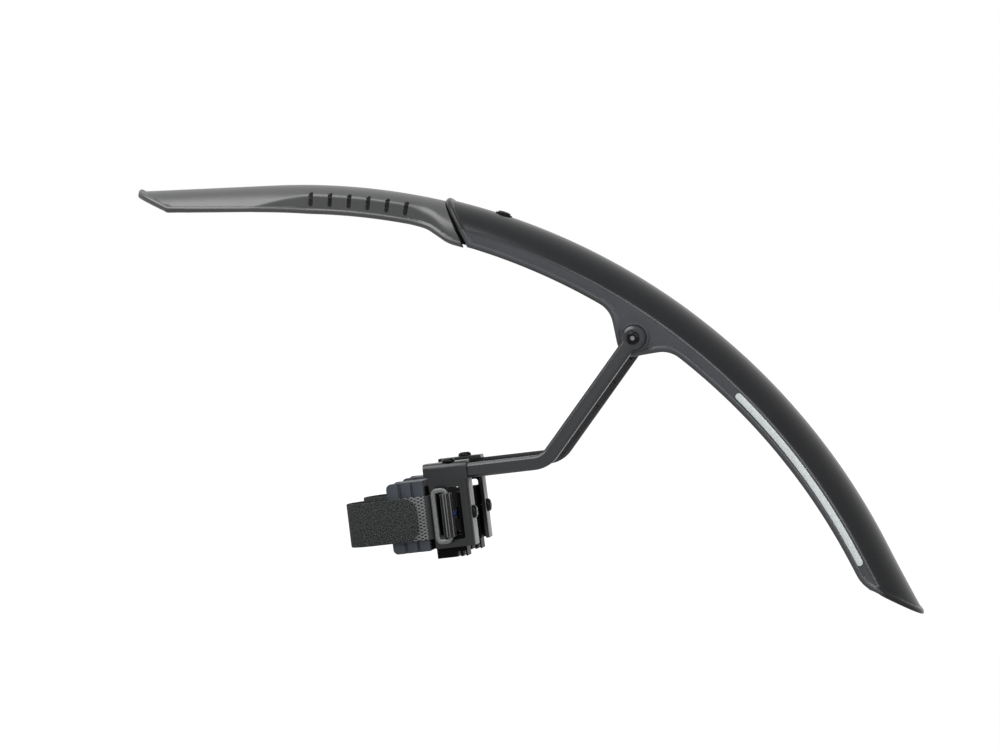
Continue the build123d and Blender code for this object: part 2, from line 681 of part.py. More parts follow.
def carrier_nut():
    """Nut on the front of the carrier's spine, on the side screw."""
    return side_screw_plane(CARRIER_BACK - CARRIER_SPINE) * hex_nut()


def pad_carrier():
    """Black carrier of the right side: wall behind the pad, low arm, spine for the screw, notched foot."""
    frame = rectangle_between(PAD_BACK, CARRIER_LOW, CARRIER_BACK, CARRIER_HIGH)
    opening_front = PAD_BACK + CARRIER_WALL
    opening_back = CARRIER_BACK - CARRIER_SPINE
    opening_low = CARRIER_LOW + CARRIER_ARM
    open_top = CARRIER_HIGH + SPARE
    frame -= rectangle_between(opening_front, opening_low, opening_back, open_top)
    frame -= rectangle_between(opening_front, CARRIER_SPINE_HIGH, CARRIER_BACK + SPARE, open_top)
    foot_low = CARRIER_LOW - FOOT_DROP
    foot_front = BRACKET_FRONT + BRACKET_STEP
    foot_back = foot_front + FOOT_LENGTH
    foot = rectangle_between(foot_front, foot_low, foot_back, CARRIER_LOW)
    for place in range(FOOT_NOTCH_COUNT):
        middle = foot_back - FOOT_NOTCH * (1 + 2 * place)
        foot -= Pos(middle, foot_low) * Rectangle(FOOT_NOTCH, FOOT_DROP)
    outer = PLATE_IN - SEAT_GAP
    carrier = side_slab(frame + foot, outer - CARRIER_WIDTH, outer)
    footprint = rectangle_between(PAD_BACK, outer - CARRIER_WIDTH, CARRIER_BACK, outer)
    footprint = round_corner(footprint, Vector(CARRIER_BACK, outer), BRACKET_BEND_R)
    carrier = carrier & plan_slab(footprint, foot_low, CARRIER_HIGH)
    return carrier - side_screw_hole()


def pad():
    """Rubber pad of the right side: a saddle for the fork leg, with upright grooves in both flanks."""
    block = rectangle_between(PAD_FRONT, PAD_IN, PAD_BACK, PAD_OUT)
    land_middle = (GROOVE_FRONT + GROOVE_BACK) / 2
    for side in (-1, 1):
        flank = LEG_OFFSET + side * PAD_WIDTH / 2
        block -= Pos(land_middle, flank) * Rectangle(GROOVE_BACK - GROOVE_FRONT, 2 * LAND_DEPTH)
        for place in (GROOVE_FRONT, GROOVE_BACK):
            block -= Pos(place, flank) * Rectangle(GROOVE_WIDTH, 2 * GROOVE_DEPTH)
    body = plan_slab(block, PAD_LOW, PAD_HIGH)
    corners = rectangle_between(PAD_FRONT, PAD_LOW, PAD_BACK, PAD_HIGH)
    for height in (PAD_LOW, PAD_HIGH):
        corners = round_corner(corners, Vector(PAD_FRONT, height), PAD_ROUND)
    body = body & side_slab(corners, PAD_IN, PAD_OUT)
    return body - plan_slab(Pos(0, LEG_OFFSET) * Circle(LEG_R), PAD_LOW - SPARE, PAD_HIGH + SPARE)


STRAP_LOW = STRAP_CENTRE - STRAP_WIDTH / 2
STRAP_HIGH = STRAP_CENTRE + STRAP_WIDTH / 2
RING_BACK_BAR = RING_FRONT + RING_LENGTH - RING_BAR / 2
RING_FRONT_BAR = RING_FRONT + RING_BAR / 2
EYE_R = RING_BAR / 2 * sqrt(2) + LAYER_GAP + STRAP_THICKNESS / 2
TAB_EYE_R = RING_BAR / 2 * sqrt(2) + LAYER_GAP + TAB_THICKNESS / 2


def eye_face(place, middle_r, thickness):
    """Fold of a band round one bar of the ring."""
    ring = Circle(middle_r + thickness / 2) - Circle(middle_r - thickness / 2)
    return Pos(place, RING_MID) * ring


def strap():
    """Loop strap of the right side: folded round the ring, through the carrier, round the leg and back."""
    turn_r = (RUN_OUT - RUN_IN) / 2
    turn_middle = Vector(STRAP_TURN_FRONT + STRAP_THICKNESS / 2 + turn_r, (RUN_OUT + RUN_IN) / 2)
    start = (RING_BACK_BAR - EYE_R, RING_MID)
    cross = (STRAP_CROSS_PLACE, STRAP_CROSS_DEPTH)
    inner_corner = (PAD_BACK + CARRIER_WALL, RUN_IN)
    inner_run = FilletPolyline(start, cross, inner_corner, (turn_middle.X, RUN_IN), radius=STRAP_BEND_R)
    turn_front = turn_middle - Vector(turn_r, 0)
    turn = ThreePointArc((turn_middle.X, RUN_IN), turn_front, (turn_middle.X, RUN_OUT))
    outer_run = Line((turn_middle.X, RUN_OUT), (STRAP_END, RUN_OUT))
    band = trace(inner_run, STRAP_THICKNESS) + trace(turn, STRAP_THICKNESS)
    band = band + eye_face(RING_BACK_BAR, EYE_R, STRAP_THICKNESS)
    body = plan_slab(band, STRAP_LOW, STRAP_HIGH)
    outer = plan_slab(trace(outer_run, STRAP_THICKNESS), STRAP_LOW, STRAP_HIGH)
    reach = rectangle_between(STRAP_TURN_FRONT - SPARE, STRAP_LOW, STRAP_END, STRAP_HIGH)
    for height in (STRAP_LOW, STRAP_HIGH):
        reach = round_corner(reach, Vector(STRAP_END, height), STRAP_END_ROUND)
    outer = outer & side_slab(reach, 0, RUN_OUT + SPARE)
    return body + outer


def hook_tab():
    """Hook tab of the right side, folded round the front bar of the ring and along the pad."""
    middle = TAB_IN + TAB_THICKNESS / 2
    top = (RING_FRONT_BAR, RING_MID + TAB_EYE_R)
    knee = (PAD_BACK, middle)
    path = FilletPolyline(top, knee, (TAB_FRONT, middle), radius=STRAP_BEND_R)
    band = trace(path, TAB_THICKNESS) + eye_face(RING_FRONT_BAR, TAB_EYE_R, TAB_THICKNESS)
    return plan_slab(band, STRAP_LOW, STRAP_HIGH)


def strap_ring():
    """Rectangular ring of the right side, held between the hook tab and the strap."""
    middle = Vector(RING_FRONT + RING_LENGTH / 2, STRAP_CENTRE)
    outer = Pos(middle.X, middle.Y) * RectangleRounded(RING_LENGTH, RING_HEIGHT, RING_ROUND)
    inner = Pos(middle.X, middle.Y) * Rectangle(RING_LENGTH - 2 * RING_BAR, RING_HEIGHT - 2 * RING_BAR)
    return side_slab(outer - inner, RING_MID - RING_BAR / 2, RING_MID + RING_BAR / 2)


def main():
    os.makedirs("parts", exist_ok=True)
    crown_screw, crown_nut = crown_fasteners()
    bolt, washer, nut = pivot_fasteners()
    nodes = {
        "guard_blade": guard_blade(),
        "nose_extension": nose_extension(),
        "guard_screws": Compound(children=[crown_screw, bolt, mirrored(bolt)]),
        "guard_nuts": Compound(children=[crown_nut, nut, mirrored(nut)]),
        "friction_washers": Compound(children=[washer, mirrored(washer)]),
    }
    sided = {
        "reflector": reflective_strip(),
        "stay": stay(),
        "clamp_bracket": clamp_bracket(),
        "clamp_screws": clamp_screws(),
        "pad_carrier": pad_carrier(),
        "carrier_nut": carrier_nut(),
        "pad": pad(),
        "strap": strap(),
        "hook_tab": hook_tab(),
        "strap_ring": strap_ring(),
    }
    for name, shape in sided.items():
        nodes[f"right_{name}"] = shape
        nodes[f"left_{name}"] = mirrored(shape)
    for name, shape in nodes.items():
        export_step(shape, f"parts/{name}.step")


if __name__ == "__main__":
    main()
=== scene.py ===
import json
from math import cos, pi, radians, sin, sqrt, tan

import bmesh
import bpy
import numpy as np
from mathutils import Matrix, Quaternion, Vector


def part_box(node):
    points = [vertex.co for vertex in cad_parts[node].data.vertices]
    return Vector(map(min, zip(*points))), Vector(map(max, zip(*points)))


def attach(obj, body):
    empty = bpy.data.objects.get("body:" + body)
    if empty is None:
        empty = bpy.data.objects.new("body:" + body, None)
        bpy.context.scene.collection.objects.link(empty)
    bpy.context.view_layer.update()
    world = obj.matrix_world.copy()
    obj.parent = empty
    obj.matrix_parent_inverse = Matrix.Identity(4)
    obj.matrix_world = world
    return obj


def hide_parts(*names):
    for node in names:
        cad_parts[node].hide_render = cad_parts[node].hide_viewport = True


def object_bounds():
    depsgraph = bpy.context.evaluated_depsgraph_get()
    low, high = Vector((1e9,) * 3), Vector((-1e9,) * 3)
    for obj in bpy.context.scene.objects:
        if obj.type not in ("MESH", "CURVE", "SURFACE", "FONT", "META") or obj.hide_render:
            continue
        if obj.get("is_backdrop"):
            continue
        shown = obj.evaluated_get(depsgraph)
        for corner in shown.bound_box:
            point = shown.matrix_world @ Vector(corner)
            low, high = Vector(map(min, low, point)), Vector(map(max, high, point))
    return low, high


bl_info = {
    "name": "Bicycle mudguard",
    "version": (1, 0, 0),
    "blender": (4, 5, 0),
    "location": "View3D > Sidebar > Mudguard",
    "description": "Dresses the frame of a front mudguard with its moulded, sewn and turned pieces",
    "category": "Add Mesh",
}

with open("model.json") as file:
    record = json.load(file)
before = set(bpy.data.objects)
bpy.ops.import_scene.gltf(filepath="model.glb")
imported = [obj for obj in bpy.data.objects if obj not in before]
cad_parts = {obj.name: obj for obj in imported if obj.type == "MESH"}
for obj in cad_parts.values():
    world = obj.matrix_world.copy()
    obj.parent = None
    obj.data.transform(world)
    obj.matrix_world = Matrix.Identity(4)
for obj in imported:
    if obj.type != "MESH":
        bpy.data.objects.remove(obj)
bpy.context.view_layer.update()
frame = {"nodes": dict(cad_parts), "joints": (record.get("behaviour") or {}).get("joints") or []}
NODES = frame["nodes"]

# Lengths are millimetres, in the axes of the frame. Angles are degrees, except where radians() makes them.
MM = 0.001
SIDES = {"left": -1, "right": 1}
ACROSS = np.array([0.0, 1.0, 0.0])
WHITE = (1, 1, 1, 1)

# Wheel axle and the pivot of the stays
AXLE = np.array([-51.4, 0.0, -188.2])
PIVOT = np.array(frame["joints"][0]["pos_m"]) / MM

# Blade
CROWN_R = 380.0
HALF_WIDTH = 26.5
WALL = 2.0
ARCH_ACROSS = 29.2
CROWN_RISE = 14.4
BAND_DEPTH = 8.1
ARCH_UP = CROWN_RISE / (1 - sqrt(1 - (HALF_WIDTH / ARCH_ACROSS) ** 2))
EDGE_R = CROWN_R - CROWN_RISE - BAND_DEPTH
FRONT_ANGLE = 77.1
FRONT_LEAN = radians(29.1)
FRONT_DOWN = np.array([sin(FRONT_LEAN), -cos(FRONT_LEAN)])
FRONT_BACK = np.array([cos(FRONT_LEAN), sin(FRONT_LEAN)])
FRONT_ROUND = 1.2
TAIL_ANGLE = 20.7
TAIL_FALL = radians(30.0)
TAIL_KICK = 3.3
TAIL_KICK_LENGTH = 42.0
TAIL_TAPER = 1.3
TAIL_BEAD = 0.45
TAIL_WALL = 0.45
TAIL_ROUND = 18.0
LUG_ANGLE = 56.15
PIVOT_R = 351.4
LUG_R = 10.4
LUG_ROUND = 16.0
BOSS_R = 8.4
BOSS_HEIGHT = 1.2
BOSS_RIM = 0.6
BOSS_FOOT = (0.1, 0.3)
BOSS_BREAK = 0.15
BOSS_LAND_R = BOSS_R - 2 * BOSS_RIM + 0.2
EYE_GROOVE_R = 6.8
EYE_GROOVE_DEPTH = 0.9

# Nose
NOSE_R = CROWN_R - 1.4
NOSE_TURN = radians(92.5)
NOSE_OUT = np.array([cos(NOSE_TURN), sin(NOSE_TURN)])
NOSE_BACK = np.array([sin(NOSE_TURN), -cos(NOSE_TURN)])
NOSE_TIP_X = -95.0
NOSE_BLUNT = 1.5
NOSE_BLUNT_ROUND = 0.5
NOSE_CUT_FALL = radians(25.4)
NOSE_CORNER_ROUND = 6.0
NOSE_HALF = 25.8
WAIST_HALF = 18.9
WAIST_DEPTH = 16.5
WAIST_TANGENT_ANGLE = 88.9
WAIST_LOW_ANGLE = 77.8
WAIST_ROUND = 80.0
REAR_LOW_ANGLE = 75.6
REAR_LOW_ROUND = 20.0
REAR_DROP = 1.0
FLARES_X = (-27.0, 6.0, 73.3, 87.3)
FLARE_ROUNDS = (60.0, 60.0, 24.0, 24.0)
SOFT_REAR = 15.0
JOINT_GAP = 1.4
JOINT_ROUND = 0.8
TONGUE_INSET = WALL + 0.3
TONGUE_AHEAD = 5.0
TONGUE_LENGTH = 36.0
TONGUE_DEPTH = 21.6
TONGUE_CREASE = 1.5
SLOT_COUNT = 6
SLOT_WIDTH = 2.6
SLOT_HEIGHT = 8.2
SLOT_FIRST_ANGLE = 88.75
SLOT_STEP_ANGLE = 1.72
SLOT_DROP = 8.3
SLOT_REACH = 40.0

# Meshes; the grid's low edge begins and ends where the outline is one slack short of its depth
EDGE_MARGIN = 4.2
EDGE_STEP = 0.36
EDGE_SLACK = 0.2
TIP_SLACK = 0.3
OUTLINE_POINTS = 900
TONGUE_GRID = (61, 34)
RIM_BULGE = 0.5
SHARP_CREASE = HALF_WIDTH * 1e-3
SHARP_ANGLE = 38.0
WELD = 0.002
ARC_POINTS = 24
SLOT_ARC_POINTS = 13
RING_ARC_POINTS = 12
RING_POINTS = 160
BOSS_SEGMENTS = 64
SCREW_SEGMENTS = 48
DOME_POINTS = 9
SKEW = (0.31, 0.87, 0.38)

# Screws, as (length under the head, length of thread)
CROWN_SCREW = (8.9, 6.0)
PIVOT_BOLT = (14.1, 6.0)
TOP_SCREW = (9.7, 5.0)
SIDE_SCREW = (11.6, 7.0)
PATCH_PLACE = 8.4
CROWN_SCREW_ANGLE = radians(72.0)
CROWN_SEAT_DEPTH = 0.4
CROWN_FLANGE = 1.1
BOLT_GAP = 0.05
SHANK_R = 2.0
HEAD_R = 3.8
HEAD_HEIGHT = 2.2
HEAD_SKIRT = 0.45
FLANGE_SKIRT = 1.1
HEAD_BREAK = 0.1
SOCKET_R = 1.35
SOCKET_DEPTH = 1.1
SOCKET_LAND = 0.45
SOCKET_BREAK = 0.12
SOCKET_PAINT_R = SOCKET_R + 0.1
THREAD_PITCH = 0.7
THREAD_DEPTH = 0.22
NECK_SHARE = 0.98
TIP_BEVEL = 0.4
NUT_R = 4.0
NUT_BEVEL = 0.3
NUT_BORE_R = SHANK_R + 0.1
THIN_NUT = 1.7
NUT_PLACE = 45.0

# Clamps: along the stay's clamp end, across the bicycle and up the fork leg
CLAMP_TILT = radians(7.0)
ALONG = np.array([cos(CLAMP_TILT), 0, sin(CLAMP_TILT)])
UPWARD = np.array([-sin(CLAMP_TILT), 0, cos(CLAMP_TILT)])
LEG_OFFSET = 28.0
STAY_MID = 31.55
TOP_SCREW_PLACE = 42.2
FLANGE_TOP = 27.68
SIDE_SCREW_PLACE = 52.6
SIDE_SCREW_HEIGHT = -2.2
RING_FRONT = 31.0
RING_LENGTH = 10.2
RING_HEIGHT = 32.0
RING_BAR = 2.8
RING_BAR_ROUND = RING_BAR * 0.36
RING_ROUND = 2.6
RING_MID = 40.45
STRAP_WIDTH = 25.0
STRAP_CENTRE = -2.2
STRAP_THICKNESS = 1.6
STRAP_FRONT = -18.9
STRAP_END = 22.5
STRAP_END_ROUND = 7.8
STRAP_BEND = 5.0
STRAP_CROSS = (37.5, 22.0)
STRAP_INNER = 30.5
FOLD_BACK = 1.2
FOLD_IN = 32.0
RUN_IN = 14.3
RUN_OUT = 43.2
LAYER_GAP = 0.1
TURN_SLACK = 0.01
BLUNT_END = 0.02
BAND_EDGE_ROUND = 0.42
BAND_STEP = 0.6
TAB_THICKNESS = 1.4
TAB_FRONT = 9.0
TAB_RUN = 41.6
TAB_START = 1.3
TAB_KNEE = 2.2
TAB_BENDS = (1.6, 1.4)
TAB_END_ROUND = 0.5
TAB_TURN = 28.2

# Places and spans of the cloth and plastic patterns, and of painted light: highlight stripes on the strap's
# fold, painted shade where the strap runs inside the carrier, and the lighter band below the blade's crease
MESH_START = 7.9
HOLE_PITCH = 1.9
HOLE_SHADE = 0.4
HOLE_SPAN = (0.1, 0.4)
MESH_BLEND = 0.1
SEWN_FOLD = 24.0
SHADED_INSIDE_END = 48.0
SEAM_BLEND = 1.0
RIDGE_PITCH = 2.1
RIDGE_SPAN = (0.55, 0.95)
PILE_SPAN = (0.44, 0.56)
GRAIN_SPAN = (0.25, 0.75)
CELL_SPAN = (0.0, 0.7)
CREASE_BLEND = (-1.5, 1.0)
CLOUD_SCALE = 55.0
CELL_SCALE = 900.0
CELL_SHADES = (1.08, 0.86)
PILE_ROUGHNESS = 0.95
FOLD_ROUGHNESS = 0.35

# Heights of bumps, in metres
GRAIN_BUMP = 0.0004
PILE_BUMP = 0.0006
HOOK_BUMP = 0.0005


def unit(vectors):
    """Vectors scaled to length one along the last axis."""
    return vectors / np.maximum(np.linalg.norm(vectors, axis=-1, keepdims=True), 1e-12)


def polar(radius, angle):
    """Point of the side view at a radius and an angle about the axle."""
    return radius * np.array([cos(radians(angle)), sin(radians(angle))])


def evenly(path, places):
    """Points of a polyline at the given distances along it, by linear interpolation."""
    steps = np.linalg.norm(np.diff(path, axis=0), axis=1)
    run = np.concatenate([[0], np.cumsum(steps)])
    return np.column_stack([np.interp(places, run, column) for column in path.T])


def path_length(path):
    """Length of a polyline."""
    return np.linalg.norm(np.diff(path, axis=0), axis=1).sum()


def rounded_path(corners, radii, turns=16):
    """Straight runs between the corners, each inner corner replaced by the arc that touches both runs.

    The arc is worked out as a spherical blend of its two end spokes, sin((1-t)w) and sin(tw) over sin(w).
    """
    corners = np.asarray(corners, float)
    share = np.linspace(0, 1, turns)[:, None]
    runs = [corners[:1]]
    for before, corner, after, radius in zip(corners, corners[1:], corners[2:], radii):
        back, ahead = unit(before - corner), unit(after - corner)
        half = np.arccos(np.clip(back @ ahead, -1, 1)) / 2
        start = corner + back * radius / tan(half)
        end = corner + ahead * radius / tan(half)
        middle = corner + unit(back + ahead) * radius / sin(half)
        sweep = pi - 2 * half
        spokes = np.sin((1 - share) * sweep) * (start - middle) + np.sin(share * sweep) * (end - middle)
        runs.append(middle + spokes / sin(sweep))
    runs.append(corners[-1:])
    return np.vstack(runs)


def cut_meets(point, direction, radius):
    """Where a line through a point of the side view crosses a circle about the axle, nearest to the point."""
    along = point @ direction
    reach = sqrt(along**2 - point @ point + radius**2)
    return point + direction * min(reach - along, -reach - along, key=abs)


def graded(length, margin, fine, coarse):
    """Distances from 0 to a length, with fine steps within a margin of both ends and coarse ones between."""
    near = np.linspace(0, margin, round(margin / fine) + 1)
    between = np.linspace(margin, length - margin, max(2, round((length - 2 * margin) / coarse)))[1:-1]
    return np.concatenate([near, between, length - near[::-1]])


PHI = np.linspace(0, pi / 2, 3000)


def arch_table(inset):
    """Arc length of the crown's ellipse against its angle, for the skin moved in by an inset."""
    across, up = ARCH_ACROSS - inset, ARCH_UP - inset
    speed = np.hypot(across * np.cos(PHI), up * np.sin(PHI))
    steps = (speed[1:] + speed[:-1]) / 2 * np.diff(PHI)
    return across, up, np.concatenate([[0], np.cumsum(steps)])


def arch(down, half_width, soft, inset=0.0):
    """Offset across and drop below the crown of a point at a distance down the skin.

    The crown is an ellipse up to the half width, the side an upright line, and the crease between them a
    quadratic blend of the points that lie one soft distance before and after it with the crease itself.
    """
    across, up, run = arch_table(inset)
    half_width = half_width - inset
    reach = np.abs(down)
    shoulder = np.arcsin(np.clip(half_width / across, 0, 1))
    crease = np.interp(shoulder, PHI, run)

    def crown(distance):
        angle = np.interp(distance, run, PHI)
        return across * np.sin(angle), up * (1 - np.cos(angle))

    crease_drop = up * (1 - np.cos(shoulder))
    out, drop = crown(np.minimum(reach, crease))
    beyond = reach > crease
    out = np.where(beyond, half_width, out)
    drop = np.where(beyond, crease_drop + reach - crease, drop)
    share = np.clip((reach - crease + soft) / (2 * soft), 0, 1)
    from_out, from_drop = crown(crease - soft)
    blend_out = (1 - share) ** 2 * from_out + (2 * share * (1 - share) + share**2) * half_width
    blend_drop = (1 - share) ** 2 * from_drop + 2 * share * (1 - share) * crease_drop
    blend_drop = blend_drop + share**2 * (crease_drop + soft)
    near = np.abs(reach - crease) < soft
    out = np.where(near, blend_out, out)
    drop = np.where(near, blend_drop, drop)
    return np.sign(down) * out, drop


def down_at(drop, half_width, inset=0.0):
    """Distance down the skin at which it has dropped by an amount, with a sharp crease."""
    across, up, run = arch_table(inset)
    shoulder = np.arcsin(np.clip((half_width - inset) / across, 0, 1))
    crease_drop = up * (1 - np.cos(shoulder))
    on_crown = np.interp(np.arccos(np.clip(1 - drop / up, 0, 1)), PHI, run)
    on_side = np.interp(shoulder, PHI, run) + drop - crease_drop
    return np.where(drop > crease_drop, on_side, on_crown)


def distance_to(points, path):
    """Distance of each point of the plane from a polyline: the least of those from its segments."""
    start, step = path[:-1], np.diff(path, axis=0)
    gap = points[:, None, :] - start[None]
    share = np.clip((gap * step).sum(-1) / np.maximum((step**2).sum(-1), 1e-12), 0, 1)
    return np.linalg.norm(gap - share[..., None] * step, axis=-1).min(1)


def bead_height(distance, width, height):
    """Half-round bead: half an ellipse over its width in from the edge."""
    half = width / 2
    return height * np.sqrt(np.clip(1 - ((distance - half) / half) ** 2, 0, 1))


def grid_faces(rows, columns, first=0):
    """Quads of a grid of points, row by row."""
    index = first + np.arange(rows * columns).reshape(rows, columns)
    return np.stack([index[:-1, :-1], index[:-1, 1:], index[1:, 1:], index[1:, :-1]], -1).reshape(-1, 4)


def perimeter(rows, columns):
    """Row and column numbers of a grid's border, once round."""
    r, c = np.arange(rows), np.arange(columns)
    row = np.concatenate([np.zeros(columns - 1, int), r[:-1], np.full(columns - 1, rows - 1), r[:0:-1]])
    column = np.concatenate([c[:-1], np.full(rows - 1, columns - 1), c[:0:-1], np.zeros(rows - 1, int)])
    return row, column


def surface_normals(points):
    """Unit normals of a grid of points: cross product of its two gradients."""
    return unit(np.cross(np.gradient(points, axis=0), np.gradient(points, axis=1)))


def about_axle(radius, turn, out):
    """Points of the frame at radii and turns, in radians, about the axle and at offsets across."""
    return np.stack([AXLE[0] + radius * np.cos(turn), out, AXLE[2] + radius * np.sin(turn)], -1)


def tube_faces(index):
    """Quads between the rows of a table of point numbers, each row a closed loop."""
    after = np.roll(index, -1, axis=1)
    return np.stack([index[:-1], after[:-1], after[1:], index[1:]], -1).reshape(-1, 4)


def closed_shell(points, raised, wall):
    """Solid wall on a grid of points: its raised outer skin, an inner skin one wall below, and a rounded rim.

    The rim runs round the border on half an ellipse, from the outer skin over the edge to the inner one. The
    wall is one thickness or one for each point.
    """
    rows, columns = points.shape[:2]
    wall = np.broadcast_to(wall, (rows, columns))[..., None]
    normals = surface_normals(points)
    outer = points + normals * raised[..., None]
    inner = points - normals * wall
    row, column = perimeter(rows, columns)
    edge, up, half_wall = points[row, column], normals[row, column], wall[row, column] / 2
    away = unit(edge - points[np.clip(row, 1, rows - 2), np.clip(column, 1, columns - 2)])
    away = unit(sum(np.roll(away, step, 0) for step in range(-3, 4)))
    turns = np.radians([45, 90, 135])[:, None, None]
    rim = edge - up * half_wall + np.cos(turns) * up * half_wall + np.sin(turns) * away * RIM_BULGE
    count, border = rows * columns, row * columns + column
    on_rim = 2 * count + np.arange(len(turns) * len(row)).reshape(len(turns), -1)
    rim_faces = tube_faces(np.vstack([border, on_rim, count + border]))[:, [0, 3, 2, 1]]
    faces = np.vstack([grid_faces(rows, columns)[:, ::-1], grid_faces(rows, columns, count), rim_faces])
    return np.vstack([outer.reshape(-1, 3), inner.reshape(-1, 3), rim.reshape(-1, 3)]), faces


def drop_at(down):
    """Drop below the crown at a distance down the skin, where the crease lies at the blade's half width."""
    return arch(down, HALF_WIDTH, SHARP_CREASE)[1]


def guard_grid(low_edge, top_ends, sizes):
    """Grid of (along, down) places on the guard's skin, from one lower edge over the crown to the other.

    Each column runs from a place on the low edge to one on the crown, straight in the side view, where the
    drop grows with one minus the cosine of the ellipse's angle. Rows and columns lie close together near the
    edges, where the bead is, and evenly between.
    """
    low = evenly(low_edge, graded(path_length(low_edge), EDGE_MARGIN, EDGE_STEP, sizes.column_step))
    share = (low[:, 0] - low[0, 0]) / (low[-1, 0] - low[0, 0])
    top = top_ends[0] + (top_ends[1] - top_ends[0]) * share
    near = np.linspace(0, EDGE_MARGIN, round(EDGE_MARGIN / EDGE_STEP) + 1)[:, None]
    rest = np.linspace(0, 1, sizes.rows)[1:, None]
    depth = low[None, :, 1]
    down = np.vstack([depth - near, (depth - EDGE_MARGIN) * (1 - rest)])
    along = top + (low[:, 0] - top) * drop_at(down) / drop_at(depth)
    return np.vstack([along, along[-2::-1]]), np.vstack([down, -down[-2::-1]])


def side_outline(corners, radii):
    """Rounded outline of (along, drop) corners, with points that crowd by a cosine towards both ends, where
    the outline meets the crown."""
    outline = rounded_path(corners, radii, ARC_POINTS)
    share = (1 - np.cos(np.linspace(0, pi, OUTLINE_POINTS))) / 2
    return evenly(outline, share * path_length(outline))


def join(*pieces):
    """Several (points, faces) as one."""
    points, faces, first = [], [], 0
    for piece_points, piece_faces in pieces:
        points.append(piece_points)
        faces += [[first + i for i in face] for face in np.asarray(piece_faces, object).tolist()]
        first += len(piece_points)
    return np.vstack(points), faces


def turned(profile, segments, hexagon=None):
    """Profile of (radius, height) turned about z. Where hexagon is set, the radius follows a hexagon instead:
    cos(30) over cos of the angle from the middle of a flat."""
    profile = np.asarray(profile, float)
    angle = np.linspace(0, 2 * pi, segments, endpoint=False)
    flat = cos(pi / 6) / np.cos(np.mod(angle, pi / 3) - pi / 6)
    share = np.zeros(len(profile)) if hexagon is None else np.asarray(hexagon, float)
    radius = profile[:, :1] * (1 + share[:, None] * (flat - 1))
    height = np.broadcast_to(profile[:, 1:], radius.shape)
    points = np.stack([radius * np.cos(angle), radius * np.sin(angle), height], -1).reshape(-1, 3)
    return points, tube_faces(np.arange(len(points)).reshape(-1, segments))


def placed(piece, origin, axis):
    """(points, faces) about z, stood on an origin with z along an axis."""
    points, faces = piece
    axis = unit(np.asarray(axis, float))
    side = unit(np.cross(axis, SKEW))
    return np.asarray(origin) + points @ np.stack([side, np.cross(axis, side), axis]), faces


def swept(path, normals, across, section, closed=False):
    """Section of (along the normal, across) offsets carried along a path; open ends get a flat cap."""
    points = path[:, None] + normals[:, None] * section[..., :1] + across * section[..., 1:]
    rows, columns = points.shape[:2]
    index = np.arange(rows * columns).reshape(rows, columns)
    if closed:
        faces = tube_faces(np.vstack([index, index[:1]])).tolist()
    else:
        faces = tube_faces(index).tolist() + [index[0, ::-1].tolist(), index[-1].tolist()]
    return points.reshape(-1, 3), faces


def rounded_section(half_thick, half_wide, radius):
    """Loop of a rectangle with round corners, as offsets (thick, wide)."""
    corner = np.linspace(0, pi / 2, 5)
    arcs = [
        np.column_stack([
            sx * (half_thick - radius) + radius * np.cos(corner + start),
            sy * (half_wide - radius) + radius * np.sin(corner + start),
        ])
        for sx, sy, start in ((1, 1, 0), (-1, 1, pi / 2), (-1, -1, pi), (1, -1, 3 * pi / 2))
    ]
    return np.vstack(arcs)


def clamp_points(along, across, up, side):
    """Places of the clamp as points of the frame, on one side of the bicycle."""
    along, across, up = [np.asarray(place)[..., None] for place in (along, across, up)]
    return along * ALONG + up * UPWARD + side * across * ACROSS


def new_object(name, points, faces, places=None):
    """New object from points in millimetres, welded and turned outwards. Places of points make a UV map."""
    mesh = bpy.data.meshes.new(name)
    mesh.from_pydata((np.asarray(points) * MM).tolist(), [], [list(face) for face in faces])
    if places is not None:
        corners = np.zeros(len(mesh.loops), np.int32)
        mesh.loops.foreach_get("vertex_index", corners)
        layer = mesh.uv_layers.new(name="UVMap")
        layer.data.foreach_set("uv", places[corners].astype(np.float32).ravel())
    work = bmesh.new()
    work.from_mesh(mesh)
    bmesh.ops.remove_doubles(work, verts=work.verts, dist=WELD * MM)
    bmesh.ops.recalc_face_normals(work, faces=work.faces)
    work.to_mesh(mesh)
    work.free()
    piece = bpy.data.objects.new(name, mesh)
    bpy.context.scene.collection.objects.link(piece)
    return piece


def smooth(mesh):
    """Smooth shading, with sharp edges where faces meet at more than the sharp angle."""
    mesh.shade_smooth()
    mesh.set_sharp_from_angle(angle=radians(SHARP_ANGLE))


def add_piece(name, shape, body, slot, material, *replaced):
    """Smooth piece of a shape, (points, faces) or (points, faces, places), that rides on a body."""
    piece = new_object(name, *shape)
    smooth(piece.data)
    piece.data.materials.append(finish(material))
    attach(piece, body)
    if replaced:
        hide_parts(*replaced)
    return piece


